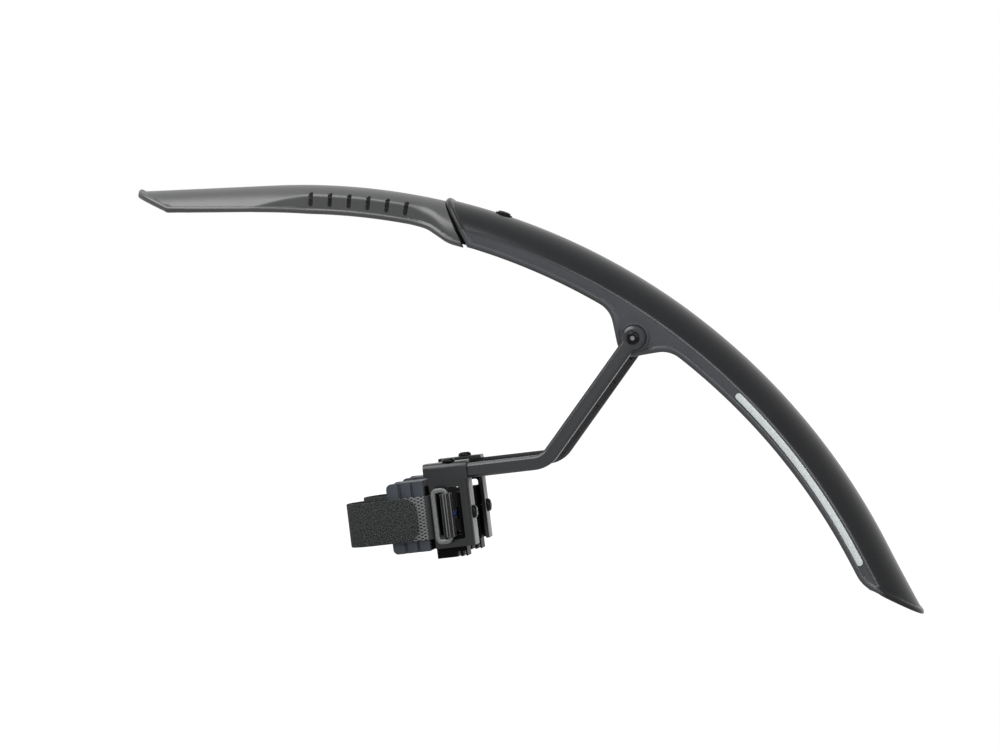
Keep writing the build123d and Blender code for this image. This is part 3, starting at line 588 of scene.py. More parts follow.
def blade_shell(sizes):
    """Blade: the arch turned about the axle, with a half-round bead along the whole edge of its outline.

    In the (along, down) plane the outline is a polygon with round corners: slanted front cut, low edge, lug
    and tail cut. Lengths along are angles times the radius of the low edge. Near the tail the radius grows by
    the square of the share of the kick's length, and bead and wall get thinner in proportion to that share.
    """
    edge = CROWN_R - EDGE_R

    def along(angle):
        return EDGE_R * (radians(FRONT_ANGLE) - angle)

    tail_way = np.array([-cos(TAIL_FALL), sin(TAIL_FALL)])
    front_low = cut_meets(polar(CROWN_R, FRONT_ANGLE) + FRONT_DOWN * edge, FRONT_DOWN, EDGE_R)
    tail_low = cut_meets(polar(CROWN_R, TAIL_ANGLE) + tail_way * edge, tail_way, EDGE_R + TAIL_TAPER)
    lug = along(radians(LUG_ANGLE))
    apex = CROWN_R - PIVOT_R + LUG_R * sqrt(2)
    corners = np.array([
        (0.0, 0.0),
        (along(np.arctan2(*front_low[::-1])), edge),
        (lug - (apex - edge), edge),
        (lug, apex),
        (lug + (apex - edge), edge),
        (along(np.arctan2(*tail_low[::-1])), edge - TAIL_TAPER),
        (along(radians(TAIL_ANGLE)), 0.0),
    ])
    outline = side_outline(corners, [FRONT_ROUND, LUG_ROUND, LUG_R, LUG_ROUND, TAIL_ROUND])
    skin = np.column_stack([outline[:, 0], down_at(outline[:, 1], HALF_WIDTH)])
    first = np.argmax(outline[:, 1] > edge - EDGE_SLACK)
    last = np.flatnonzero(outline[:, 1] > edge - BAND_DEPTH / 2)[-1]
    t, down = guard_grid(skin[first : last + 1], corners[[0, -1], 0], sizes)
    out, drop = arch(down, HALF_WIDTH, sizes.blade_crease)
    kick = np.clip((t - corners[-1, 0]) / TAIL_KICK_LENGTH + 1, 0, 1)
    points = about_axle(CROWN_R - drop + TAIL_KICK * kick**2, radians(FRONT_ANGLE) - t / EDGE_R, out)
    flat = np.column_stack([t.ravel(), np.abs(down).ravel()])
    distance = distance_to(flat, skin).reshape(t.shape)
    bead = bead_height(distance, sizes.bead_width, sizes.bead_height) * (1 - (1 - TAIL_BEAD) * kick)
    shell = closed_shell(points, bead, WALL * (1 - (1 - TAIL_WALL) * kick))
    boss = lug_boss()
    bosses = [placed(boss, (PIVOT[0], side * HALF_WIDTH, PIVOT[2]), (0, side, 0)) for side in SIDES.values()]
    border = flat.reshape(*t.shape, 2)[perimeter(*t.shape)]
    on_boss = np.full((len(boss[0]), 2), CROWN_R)
    return *join(shell, *bosses), np.vstack([flat, flat, border, border, border, on_boss, on_boss])


def lug_boss():
    """Round boss of a lug: a foot in the skin, a broken edge, and a groove round the stay's eye."""
    top, groove = BOSS_HEIGHT, BOSS_HEIGHT - EYE_GROOVE_DEPTH
    foot = [(0, 0), (BOSS_R + BOSS_RIM, -BOSS_RIM), (BOSS_R + BOSS_FOOT[0], BOSS_FOOT[1])]
    edge = [(BOSS_R, top - BOSS_RIM), (BOSS_R - BOSS_BREAK, top - BOSS_BREAK), (BOSS_R - BOSS_RIM, top)]
    ring = [(BOSS_LAND_R, top), (BOSS_LAND_R, groove), (EYE_GROOVE_R, groove), (EYE_GROOVE_R, top)]
    return turned(foot + edge + ring + [(0, top)], BOSS_SEGMENTS)


def nose_half_width(x):
    """Half width of the nose seen from above, at an x from the axle: a waist between two round flares."""
    widths = (NOSE_HALF, NOSE_HALF, WAIST_HALF, WAIST_HALF, HALF_WIDTH, HALF_WIDTH)
    corners = np.column_stack([(2 * NOSE_TIP_X, *FLARES_X, CROWN_R), widths])
    return np.interp(x, *rounded_path(corners, FLARE_ROUNDS).T)


def nose_crown(along):
    """Place and outward direction of the nose's crown line, by the distance along it from where its arc about
    the axle begins; ahead of that place the line is straight."""
    angle = NOSE_TURN - np.maximum(along, 0) / NOSE_R
    out = np.stack([np.cos(angle), np.sin(angle)], -1)
    return NOSE_R * out + np.minimum(along, 0)[..., None] * NOSE_BACK, out


def nose_place(point):
    """Distance along the nose's crown line and drop below it, of a point of the side view."""
    along = NOSE_R * (NOSE_TURN - np.arctan2(*point[::-1]))
    if along > 0:
        return along, NOSE_R - np.hypot(*point)
    gap = point - NOSE_R * NOSE_OUT
    return gap @ NOSE_BACK, -gap @ NOSE_OUT


def nose_shell(sizes):
    """Nose: the same arch narrowed to a waist, with a slanted tip, a bead along tip and low edge, and soft
    creases. Each place along and down is moved to the half width that the nose has there, and the tip is
    blunted by the logarithm of one plus the exponential of the distance behind it."""
    blunt = (NOSE_TIP_X - NOSE_R * NOSE_OUT[0]) / NOSE_OUT[1]
    tip = NOSE_R * NOSE_OUT + (blunt - NOSE_BLUNT / tan(NOSE_CUT_FALL)) * NOSE_BACK
    fall = np.array([cos(NOSE_CUT_FALL), -sin(NOSE_CUT_FALL)])
    low_r, rear_r = NOSE_R - WAIST_DEPTH, EDGE_R - REAR_DROP
    low_start, low_way = polar(low_r, WAIST_TANGENT_ANGLE), polar(1, WAIST_TANGENT_ANGLE + 90)
    reach = np.linalg.solve(np.column_stack([fall, -low_way]), low_start - tip)[0]
    joint = polar(CROWN_R, FRONT_ANGLE) - FRONT_BACK * JOINT_GAP
    places = (
        tip,
        tip + fall * reach,
        low_start,
        polar(low_r, WAIST_LOW_ANGLE),
        polar(rear_r, REAR_LOW_ANGLE),
        cut_meets(joint + FRONT_DOWN * (CROWN_R - rear_r), FRONT_DOWN, rear_r),
        cut_meets(joint, FRONT_DOWN, NOSE_R),
    )
    corners = np.array([nose_place(place) for place in places])
    radii = [NOSE_CORNER_ROUND, WAIST_ROUND, REAR_LOW_ROUND, REAR_LOW_ROUND, JOINT_ROUND]
    outline = side_outline(corners, radii)
    side_x = nose_crown(outline[:, 0])[0][:, 0]
    skin = np.column_stack([outline[:, 0], down_at(outline[:, 1], nose_half_width(side_x))])
    first = np.argmax(outline[:, 1] > corners[1, 1] - TIP_SLACK)
    last = np.flatnonzero(outline[:, 1] > outline[:, 1].max() - EDGE_SLACK)[-1]
    t, down = guard_grid(skin[first : last + 1], skin[[0, -1], 0], sizes)
    behind = (t - blunt) / NOSE_BLUNT_ROUND
    crown, out_way = nose_crown(blunt + NOSE_BLUNT_ROUND * np.logaddexp(0, behind))
    drop = np.zeros_like(t)
    for _ in range(3):
        x = crown[..., 0] - drop * out_way[..., 0]
        rear = np.clip((x - FLARES_X[2] + SOFT_REAR) / SOFT_REAR, 0, 1)
        out, drop = arch(down, nose_half_width(x), sizes.nose_crease * (1 + 2 * rear**2))
    flat = crown - drop[..., None] * out_way
    points = np.stack([AXLE[0] + flat[..., 0], out, AXLE[2] + flat[..., 1]], -1)
    places = np.column_stack([t.ravel(), np.abs(down).ravel()])
    distance = distance_to(places, skin[: last + 1]).reshape(t.shape)
    return closed_shell(points, bead_height(distance, sizes.rim_width, sizes.rim_height), WALL)


def tongue_shell():
    """Tongue of the nose under the blade: the blade's arch moved in, between lines beside the front cut."""
    depth = float(down_at(np.array(TONGUE_DEPTH - TONGUE_INSET), HALF_WIDTH, TONGUE_INSET))
    top_r = CROWN_R - TONGUE_INSET
    down = np.linspace(-depth, depth, TONGUE_GRID[0])[:, None]
    ends = []
    for place in (-TONGUE_AHEAD, TONGUE_LENGTH):
        start = polar(CROWN_R, FRONT_ANGLE) + FRONT_BACK * place
        top = cut_meets(start, FRONT_DOWN, top_r)
        low = cut_meets(start + FRONT_DOWN * TONGUE_DEPTH, FRONT_DOWN, CROWN_R - TONGUE_DEPTH)
        high, low = [np.arctan2(*point[::-1]) for point in (top, low)]
        ends.append(high + (low - high) * np.abs(down) / depth)
    angle = ends[0] + (ends[1] - ends[0]) * np.linspace(0, 1, TONGUE_GRID[1])
    out, drop = arch(np.broadcast_to(down, angle.shape), HALF_WIDTH, TONGUE_CREASE, TONGUE_INSET)
    return closed_shell(about_axle(top_r - drop, angle, out)[::-1], np.zeros(angle.shape), WALL)


def slot_cutter():
    """Row of upright slots: stadium outlines in the side view, carried right through the nose."""
    turns = np.linspace(0, pi, SLOT_ARC_POINTS)
    half = SLOT_WIDTH / 2
    upper = np.column_stack([SLOT_HEIGHT / 2 - half + half * np.sin(turns), half * np.cos(turns)])
    loop = np.vstack([upper, -upper])
    slots = []
    for place in range(SLOT_COUNT):
        turn = radians(SLOT_FIRST_ANGLE - place * SLOT_STEP_ANGLE)
        out, back = np.array([cos(turn), 0, sin(turn)]), np.array([sin(turn), 0, -cos(turn)])
        path = AXLE + out * (NOSE_R - SLOT_DROP) + SLOT_REACH * np.array([-ACROSS, ACROSS])
        slots.append(swept(path, np.array([out, out]), back, np.array([loop, loop])))
    return new_object("slot_cutter", *join(*slots))


def cut_away(piece, cutter):
    """Takes a cutter's volume out of a piece, keeps the result as its mesh and removes the cutter."""
    change = piece.modifiers.new("slots", "BOOLEAN")
    change.object = cutter
    change.operation = "DIFFERENCE"
    change.solver = "EXACT"
    bpy.context.view_layer.update()
    graph = bpy.context.evaluated_depsgraph_get()
    mesh = bpy.data.meshes.new_from_object(piece.evaluated_get(graph))
    piece.modifiers.clear()
    old = piece.data
    piece.data = mesh
    mesh.name = piece.name
    bpy.data.meshes.remove(old)
    bpy.data.objects.remove(cutter)
    smooth(mesh)


def screw(length, threaded, flange=0.0):
    """Button-head screw: domed head with a hexagon socket, plain neck, ring-shaped threads and bevelled tip.

    A flange widens the foot of the head.
    """
    dome = np.linspace(0, pi / 2, DOME_POINTS)[1:]
    dome_r = SOCKET_R + SOCKET_LAND
    skirt = FLANGE_SKIRT if flange else HEAD_SKIRT
    head = np.column_stack([
        dome_r + (HEAD_R - dome_r) * np.sin(dome),
        skirt + (HEAD_HEIGHT - skirt) * np.cos(dome),
    ])
    start = length - threaded
    turns = np.arange(0, threaded, THREAD_PITCH / 4)
    thread = np.column_stack([
        SHANK_R - THREAD_DEPTH * (1 - np.cos(2 * pi * turns / THREAD_PITCH)) / 2,
        -start - turns,
    ])
    floor, foot = HEAD_HEIGHT - SOCKET_DEPTH, HEAD_R + flange
    socket = [
        (0, floor), (SOCKET_R, floor), (SOCKET_R, HEAD_HEIGHT - SOCKET_BREAK),
        (SOCKET_R + SOCKET_BREAK, HEAD_HEIGHT),
    ]
    low = [(foot, skirt - HEAD_BREAK), (foot, HEAD_BREAK), (foot - HEAD_BREAK, 0), (SHANK_R, 0)]
    neck = [(SHANK_R, -start * NECK_SHARE)]
    tip = [(SHANK_R - TIP_BEVEL, -length), (0, -length)]
    profile = np.vstack([socket, [(dome_r, HEAD_HEIGHT)], head, low, neck, thread, tip])
    return turned(profile, SCREW_SEGMENTS, np.arange(len(profile)) < len(socket))


def thin_nut():
    """Hexagon nut under the plane z = 0."""
    bore, low, bevel = NUT_BORE_R, -THIN_NUT, NUT_BEVEL
    outside = [(NUT_R - bevel, 0), (NUT_R, -bevel), (NUT_R, low + bevel), (NUT_R - bevel, low)]
    profile = [(bore, 0), *outside, (bore, low), (bore, 0)]
    return turned(profile, SCREW_SEGMENTS, [0, 1, 1, 1, 1, 0, 0])


def band(corners, radii, thickness, end_round, side):
    """Flat woven band along a path in the clamp's plan: a rounded section carried along it, its last end cut
    to a round outline. Also gives the place of each point as (along the band, up the band) in millimetres."""
    path = rounded_path(corners, radii, ARC_POINTS)
    length = path_length(path)
    places = np.linspace(0, length, round(length / BAND_STEP) + 1)
    path = evenly(path, places)
    way = unit(np.gradient(path, axis=0))
    section = rounded_section(thickness / 2, STRAP_WIDTH / 2, thickness * BAND_EDGE_ROUND)
    from_end = np.clip(length - places, BLUNT_END, end_round)
    narrow = STRAP_WIDTH / 2 - end_round + np.sqrt(end_round**2 - (end_round - from_end) ** 2)
    sections = np.repeat(section[None], len(path), 0)
    sections[..., 1] *= (narrow / (STRAP_WIDTH / 2))[:, None]
    line = clamp_points(*path.T, np.full(len(path), STRAP_CENTRE), side)
    normals = clamp_points(way[:, 1], -way[:, 0], np.zeros(len(path)), side)
    points, faces = swept(line, normals, UPWARD, sections)
    return points, faces, np.column_stack([np.repeat(places, len(section)), sections[..., 1].ravel()])


def strap_band(side):
    """Strap: sewn fold round the ring's back bar, in through the carrier, round the fork leg and back."""
    bar = RING_FRONT + RING_LENGTH - RING_BAR / 2
    eye = RING_BAR / 2 * sqrt(2) + LAYER_GAP + STRAP_THICKNESS / 2
    turn = (RUN_OUT - RUN_IN) / 2 - TURN_SLACK
    corners = [
        (bar + FOLD_BACK, FOLD_IN),
        (bar + eye, RING_MID + eye),
        (bar - eye, RING_MID + eye),
        STRAP_CROSS,
        (STRAP_INNER, RUN_IN),
        (STRAP_FRONT, RUN_IN),
        (STRAP_FRONT, RUN_OUT),
        (STRAP_END, RUN_OUT),
    ]
    radii = [eye, eye, STRAP_BEND, STRAP_BEND, turn, turn]
    return band(corners, radii, STRAP_THICKNESS, STRAP_END_ROUND, side)


def tab_band(side):
    """Hook tab: from behind the ring's front bar, out round the pad's back and forward along its outside."""
    bar = RING_FRONT + RING_BAR / 2
    behind = RING_MID - RING_BAR / 2 - TAB_THICKNESS / 2 - LAYER_GAP
    corners = [(bar + TAB_START, behind), (bar - TAB_KNEE, behind), (TAB_TURN, TAB_RUN), (TAB_FRONT, TAB_RUN)]
    return band(corners, TAB_BENDS, TAB_THICKNESS, TAB_END_ROUND, side)


def ring_loop(side):
    """Rectangular ring: a rounded bar carried round a rectangle with round corners."""
    half_l, half_h = (RING_LENGTH - RING_BAR) / 2, (RING_HEIGHT - RING_BAR) / 2
    corners = np.array([(1, 0), (1, 1), (-1, 1), (-1, -1), (1, -1), (1, 0)]) * (half_l, half_h)
    path = rounded_path(corners, [RING_ROUND] * 4, RING_ARC_POINTS)
    path = evenly(path, np.linspace(0, path_length(path), RING_POINTS + 1))[:-1]
    way = unit(np.roll(path, -1, 0) - np.roll(path, 1, 0))
    along = RING_FRONT + RING_LENGTH / 2 + path[:, 0]
    line = clamp_points(along, np.full(len(path), RING_MID), STRAP_CENTRE + path[:, 1], side)
    normals = way[:, 1:] * ALONG - way[:, :1] * UPWARD
    section = rounded_section(RING_BAR / 2, RING_BAR / 2, RING_BAR_ROUND)
    return swept(line, normals, ACROSS, np.repeat(section[None], len(path), 0), closed=True)


def put(tree, socket, value):
    """Links a socket to an input, or sets a number or a colour on it."""
    if hasattr(value, "is_linked"):
        tree.links.new(value, socket)
    else:
        socket.default_value = value


def node_with(tree, kind, inputs, **settings):
    """New node with its settings, and its inputs set or linked by name or number."""
    node = tree.nodes.new(kind)
    for name, value in settings.items():
        setattr(node, name, value)
    for key, value in inputs.items():
        put(tree, node.inputs[key], value)
    return node


def maths(tree, operation, *values, **settings):
    """Result of a Math node on numbers or sockets."""
    inputs = dict(enumerate(values))
    return node_with(tree, "ShaderNodeMath", inputs, operation=operation, **settings).outputs[0]


def ramp(tree, value, low, high, to_low, to_high):
    """Value mapped from one range to another, and held at its ends."""
    labels = ("Value", "From Min", "From Max", "To Min", "To Max")
    inputs = dict(zip(labels, (value, low, high, to_low, to_high)))
    return node_with(tree, "ShaderNodeMapRange", inputs).outputs["Result"]


def wave(tree, value, period):
    """Cosine of a value with a period."""
    return maths(tree, "COSINE", maths(tree, "MULTIPLY", value, 2 * pi / period))


def swing(tree, value, span, amount):
    """Factor about one: a value centred on the middle of its span and scaled by an amount."""
    return maths(tree, "MULTIPLY_ADD", ramp(tree, value, *span, -1.0, 1.0), amount, 1.0)


def noise(tree, place, scale, detail, roughness):
    """Noise texture at a place."""
    inputs = {"Vector": place, "Scale": scale, "Detail": detail, "Roughness": roughness}
    return node_with(tree, "ShaderNodeTexNoise", inputs).outputs["Fac"]


def bumped(tree, height, distance, strength):
    """Normal of a surface with bumps of a height, at most a distance in metres."""
    inputs = {"Height": height, "Distance": distance, "Strength": strength}
    return node_with(tree, "ShaderNodeBump", inputs).outputs["Normal"]


def scaled_colour(tree, colour, factor):
    """Colour times a factor, channel by channel."""
    return node_with(tree, "ShaderNodeVectorMath", {0: colour, "Scale": factor}, operation="SCALE").outputs[0]


def mixed(tree, mask, low, high):
    """Colour that goes from low to high with a mask; each is a colour or a socket."""
    low, high = [colour if hasattr(colour, "is_linked") else (*colour, 1) for colour in (low, high)]
    return node_with(tree, "ShaderNodeMix", {0: mask, 6: low, 7: high}, data_type="RGBA").outputs[2]


def texture_place(tree, kind):
    """Coordinates of the object or of its UV map."""
    return tree.nodes.new("ShaderNodeTexCoord").outputs[kind]


def band_places(tree):
    """Distances along and up a band, in millimetres, from its UV map."""
    parts = node_with(tree, "ShaderNodeSeparateXYZ", {0: texture_place(tree, "UV")})
    return parts.outputs["X"], parts.outputs["Y"]


def new_group(name, inputs, outputs):
    """Shader node group with named sockets, the inputs with their values, and what goes in and comes out."""
    kinds = {"Colour": "NodeSocketColor", "Normal": "NodeSocketVector"}
    group = bpy.data.node_groups.new(name, "ShaderNodeTree")
    for label, value in inputs.items():
        kind = kinds.get(label, "NodeSocketFloat")
        group.interface.new_socket(label, in_out="INPUT", socket_type=kind).default_value = value
    for label in outputs:
        group.interface.new_socket(label, in_out="OUTPUT", socket_type=kinds.get(label, "NodeSocketFloat"))
    return group, group.nodes.new("NodeGroupInput").outputs, group.nodes.new("NodeGroupOutput").inputs


def moulded_grain():
    """Group: fine grain of moulded or coated pieces, with faint broad clouding of colour and gloss."""
    group, given, made = new_group(
        "moulded grain",
        {"Colour": WHITE, "Roughness": 0.5, "Grain": 1500.0, "Depth": 0.2, "Speckle": 0.1, "Clouding": 0.08},
        ("Colour", "Roughness", "Normal"),
    )
    place = texture_place(group, "Object")
    grain = noise(group, place, given["Grain"], detail=3.0, roughness=0.6)
    cloud = noise(group, place, CLOUD_SCALE, detail=4.0, roughness=0.55)
    speckle = swing(group, grain, GRAIN_SPAN, given["Speckle"])
    clouding = swing(group, cloud, GRAIN_SPAN, given["Clouding"])
    both = maths(group, "MULTIPLY", speckle, clouding)
    put(group, made["Colour"], scaled_colour(group, given["Colour"], both))
    put(group, made["Roughness"], maths(group, "MULTIPLY", given["Roughness"], clouding, use_clamp=True))
    put(group, made["Normal"], bumped(group, grain, GRAIN_BUMP, given["Depth"]))


def woven_pile():
    """Group: brushed loop pile of a hook-and-loop strap, a noise on the band's own places."""
    group, given, made = new_group(
        "woven pile", {"Colour": WHITE, "Scale": 1.0, "Contrast": 0.6, "Depth": 0.6}, ("Colour", "Normal")
    )
    fibres = noise(group, texture_place(group, "UV"), given["Scale"], detail=5.0, roughness=0.75)
    factor = swing(group, fibres, PILE_SPAN, given["Contrast"])
    put(group, made["Colour"], scaled_colour(group, given["Colour"], factor))
    put(group, made["Normal"], bumped(group, fibres, PILE_BUMP, given["Depth"]))


def placed_group(tree, name, inputs):
    """Outputs of a node group placed in a tree with its own values."""
    return node_with(tree, "ShaderNodeGroup", inputs, node_tree=bpy.data.node_groups[name]).outputs


def new_material(name):
    """Material with a Principled shader, and its node tree."""
    material = bpy.data.materials.new(name)
    material.use_nodes = True
    return material, material.node_tree


def shade(material, values):
    """Sets or links inputs of a material's shader by name."""
    tree = material.node_tree
    for label, value in values.items():
        put(tree, tree.nodes["Principled BSDF"].inputs[label], value)


def grained(name, colour, roughness, grain=1500.0, depth=0.2, speckle=0.1, clouding=0.08, **sockets):
    """Material on the moulded grain group; further sockets of the shader are set by name."""
    material, tree = new_material(name)
    made = placed_group(tree, "moulded grain", {
        "Colour": (*colour, 1), "Roughness": roughness, "Grain": grain, "Depth": depth, "Speckle": speckle,
        "Clouding": clouding,
    })
    shade(material, {"Base Color": made["Colour"], "Roughness": made["Roughness"], "Normal": made["Normal"]})
    shade(material, {label.replace("_", " "): value for label, value in sockets.items()})


def paint_lit_band(material, colour, lit_band_colour):
    """Paints the blade's side band a lighter grey, below the crease on the blade's (along, down) places:
    painted light on the upright face, which the lamps light more than the crown.
    """
    tree = material.node_tree
    crease = float(down_at(np.array(CROWN_RISE), HALF_WIDTH))
    start, end = [crease + blend for blend in CREASE_BLEND]
    below = ramp(tree, band_places(tree)[1], start, end, 0.0, 1.0)
    group = next(node for node in tree.nodes if node.type == "GROUP")
    put(tree, group.inputs["Colour"], mixed(tree, below, colour, lit_band_colour))


def piled(name, colour, scale, contrast, depth, dark, light):
    """Cloth material on the woven pile group, with stripes of painted highlight on the sewn fold at the
    band's start and painted shade, a dark colour, where the band runs inside the carrier."""
    material, tree = new_material(name)
    inputs = {"Colour": (*colour, 1), "Scale": scale, "Contrast": contrast, "Depth": depth}
    pile = placed_group(tree, "woven pile", inputs)
    along = band_places(tree)[0]
    # Painted highlight: light and dark stripes by turns across the sewn fold
    ridge_highlights = ramp(tree, wave(tree, along, RIDGE_PITCH), *RIDGE_SPAN, 0.0, 1.0)
    # The second mask is painted shade: the band is dark where it runs inside the carrier
    on_fold, inside = [
        ramp(tree, along, end - SEAM_BLEND, end + SEAM_BLEND, 1.0, 0.0) for end in (SEWN_FOLD, SHADED_INSIDE_END)
    ]
    cloth = mixed(tree, inside, pile["Colour"], dark)
    shade(material, {
        "Base Color": mixed(tree, on_fold, cloth, mixed(tree, ridge_highlights, dark, light)),
        "Normal": pile["Normal"],
        "Roughness": ramp(tree, on_fold, 0.0, 1.0, PILE_ROUGHNESS, FOLD_ROUGHNESS),
        "Specular IOR Level": 0.2,
    })


def hook_mesh(name, ground, thread):
    """Hook tab: a light mesh with holes in staggered rows, then plain cloth towards the ring.

    The holes are where the product of a wave along the band and one up it is high.
    """
    material, tree = new_material(name)
    along, up = band_places(tree)
    holes = maths(tree, "MULTIPLY", wave(tree, along, 2 * HOLE_PITCH), wave(tree, up, HOLE_PITCH))
    in_mesh = ramp(tree, along, MESH_START - MESH_BLEND, MESH_START + MESH_BLEND, 0.0, 1.0)
    threads = maths(tree, "MULTIPLY", ramp(tree, holes, *HOLE_SPAN, 1.0, 0.0), in_mesh)
    backing = mixed(tree, in_mesh, ground, [part * HOLE_SHADE for part in ground])
    shade(material, {
        "Base Color": mixed(tree, threads, backing, thread),
        "Normal": bumped(tree, threads, HOOK_BUMP, strength=0.8),
        "Roughness": 0.7,
        "Specular IOR Level": 0.2,
    })


def reflective_film(name, colour):
    """Retroreflective film: a bright sheet of tiny cells under a clear coat."""
    material, tree = new_material(name)
    inputs = {"Vector": texture_place(tree, "Object"), "Scale": CELL_SCALE}
    cells = node_with(tree, "ShaderNodeTexVoronoi", inputs).outputs["Distance"]
    factor = ramp(tree, cells, *CELL_SPAN, *CELL_SHADES)
    shade(material, {
        "Base Color": scaled_colour(tree, tuple(colour), factor), "Roughness": 0.35, "Coat Weight": 0.4,
    })


def length_property(label, words, value, least):
    """Length in millimetres."""
    return bpy.props.FloatProperty(name=label, description=words, default=value, min=least)


def power_property(label, words, value):
    """Power of a lamp."""
    return bpy.props.FloatProperty(name=label, description=words, default=value, min=0.0, unit="POWER")


def colour_property(label, words, value):
    """Colour property in linear light."""
    return bpy.props.FloatVectorProperty(
        name=label, description=words, default=value, subtype="COLOR", size=3, min=0.0, max=1.0
    )


class MudguardSizes(bpy.types.PropertyGroup):
    """Sizes of the dressed pieces that a user would change, in millimetres."""

    bead_width: length_property("Bead width", "Width of the half-round bead on the blade's edges", 3.0, 0.5)
    bead_height: length_property("Bead height", "How far the bead stands out of the skin", 1.0, 0.1)
    rim_width: length_property("Rim width", "Width of the half-round bead along the nose's edges", 3.0, 0.5)
    rim_height: length_property("Rim height", "How far the bead of the nose stands out of its skin", 1.2, 0.1)
    blade_crease: length_property("Blade crease", "Half length of the rounded crease of the blade", 1.5, 0.2)
    nose_crease: length_property("Nose crease", "Half length of the rounded crease of the nose", 1.4, 0.2)
    column_step: length_property("Column step", "Distance between mesh columns along the guard", 1.5, 0.5)
    rows: bpy.props.IntProperty(
        name="Rows", description="Mesh rows between the bead and the crown", default=46, min=10
    )


class MudguardColours(bpy.types.PropertyGroup):
    """Base colours of the finishes."""

    blade: colour_property("Blade", "Dark grey of the moulded blade", (0.009, 0.0095, 0.0105))
    # The band's lighter grey is painted light: the same plastic as the blade, lit more on its upright side
    band: colour_property("Band", "Lighter grey of the blade's side band", (0.05, 0.052, 0.057))
    nose: colour_property("Nose", "Lighter grey of the nose", (0.02, 0.0207, 0.021))
    stay: colour_property("Stay", "Dark grey of the moulded stays", (0.008, 0.009, 0.0115))
    bracket: colour_property("Bracket", "Charcoal coat of the bent brackets", (0.002, 0.0027, 0.0037))
    carrier: colour_property("Carrier", "Black of the pad carriers", (0.003, 0.003, 0.0035))
    pad: colour_property("Pad", "Blue-grey of the rubber pads", (0.036, 0.041, 0.05))
    strap: colour_property("Strap", "Grey of the brushed strap", (0.03, 0.0335, 0.0327))
    ring: colour_property("Ring", "Dull metal of the strap rings", (0.12, 0.123, 0.123))
    film: colour_property("Reflective film", "Silver of the reflective strips", (0.52, 0.56, 0.56))
    thread_lock: colour_property("Thread lock", "Blue patch on the screw tips", (0.03, 0.09, 0.42))


class MudguardStage(bpy.types.PropertyGroup):
    """Light levels of the stage."""

    left_light: power_property("Left light", "Power of the softbox above the nose", 40.0)
    front_light: power_property("Front light", "Power of the softbox behind the camera", 2.0)
    right_light: power_property("Right light", "Power of the slanted strip at the right", 22.0)
    back_light: power_property("Back light", "Power of the softbox behind", 26.0)
    room_light: bpy.props.FloatProperty(
        name="Room light", description="Strength of the even light from all sides", default=0.12, min=0.0
    )


class MUDGUARD_OT_finishes(bpy.types.Operator):
    """Make the materials of all the pieces"""

    bl_idname = "mudguard.finishes"
    bl_label = "Make finishes"

    def execute(self, context):
        c = context.scene.mudguard_colours
        moulded_grain()
        woven_pile()
        grained("satin blade plastic", c.blade, 0.25, depth=0.06, Specular_IOR_Level=0.2)
        # Painted light: the side band below the crease gets a lighter grey than the crown
        paint_lit_band(finish("satin blade plastic"), c.blade, c.band)
        grained("satin nose plastic", c.nose, 0.36, depth=0.1, Specular_IOR_Level=0.66)
        grained("satin stay plastic", c.stay, 0.3, depth=0.1, Specular_IOR_Level=0.5)
        grained("charcoal powder coat", c.bracket, 0.3, grain=1100.0, depth=0.12, Specular_IOR_Level=0.42)
        grained("black carrier plastic", c.carrier, 0.4, Specular_IOR_Level=0.03)
        grained("pad rubber", c.pad, 0.5, grain=1800.0, depth=0.2, Specular_IOR_Level=0.25)
        grained(
            "gloss black steel", (0.004, 0.004, 0.005), 0.1, depth=0.02, speckle=0.02, Specular_IOR_Level=0.1
        )
        # Lighter metal for the screws' sockets: a painted glint
        grained("bare socket steel", (0.22, 0.22, 0.23), 0.25, depth=0.05, Metallic=0.6)
        grained("zinc plated steel", (0.5, 0.5, 0.5), 0.35, depth=0.05, Metallic=0.9)
        grained("ring steel", c.ring, 0.45, grain=900.0, depth=0.4, speckle=0.35, Metallic=0.35)
        grained("black washer nylon", (0.012, 0.012, 0.013), 0.45)
        grained("thread lock patch", c.thread_lock, 0.5, grain=1200.0, depth=0.5, speckle=0.3)
        # The dark colour is the painted shade inside the carrier and the dark between stripes; the light one
        # is the painted highlight on the fold
        piled("brushed strap pile", c.strap, 1.3, 0.95, 1.0, (0.006, 0.006, 0.006), (0.16, 0.165, 0.165))
        hook_mesh("hook tab mesh", (0.025, 0.027, 0.028), (0.145, 0.15, 0.15))
        reflective_film("reflective film", c.film)
        return {"FINISHED"}


def finish(name):
    """Material of that name."""
    return bpy.data.materials[name]


class MUDGUARD_OT_guard(bpy.types.Operator):
    """Build the blade and the nose with its tongue and slots"""

    bl_idname = "mudguard.guard"
    bl_label = "Build guard"

    def execute(self, context):
        sizes = context.scene.mudguard_sizes
        add_piece("blade", blade_shell(sizes), "guard", "blade_plastic", "satin blade plastic", "guard_blade")
        nose = add_piece(
            "nose", nose_shell(sizes), "guard", "nose_plastic", "satin nose plastic", "nose_extension"
        )
        cut_away(nose, slot_cutter())
        # Painted shade: the tongue gets the black carrier finish to stand for the deep shadow in the gap
        # between nose and blade
        add_piece("nose_tongue", tongue_shell(), "guard", "nose_plastic", "black carrier plastic")
        return {"FINISHED"}


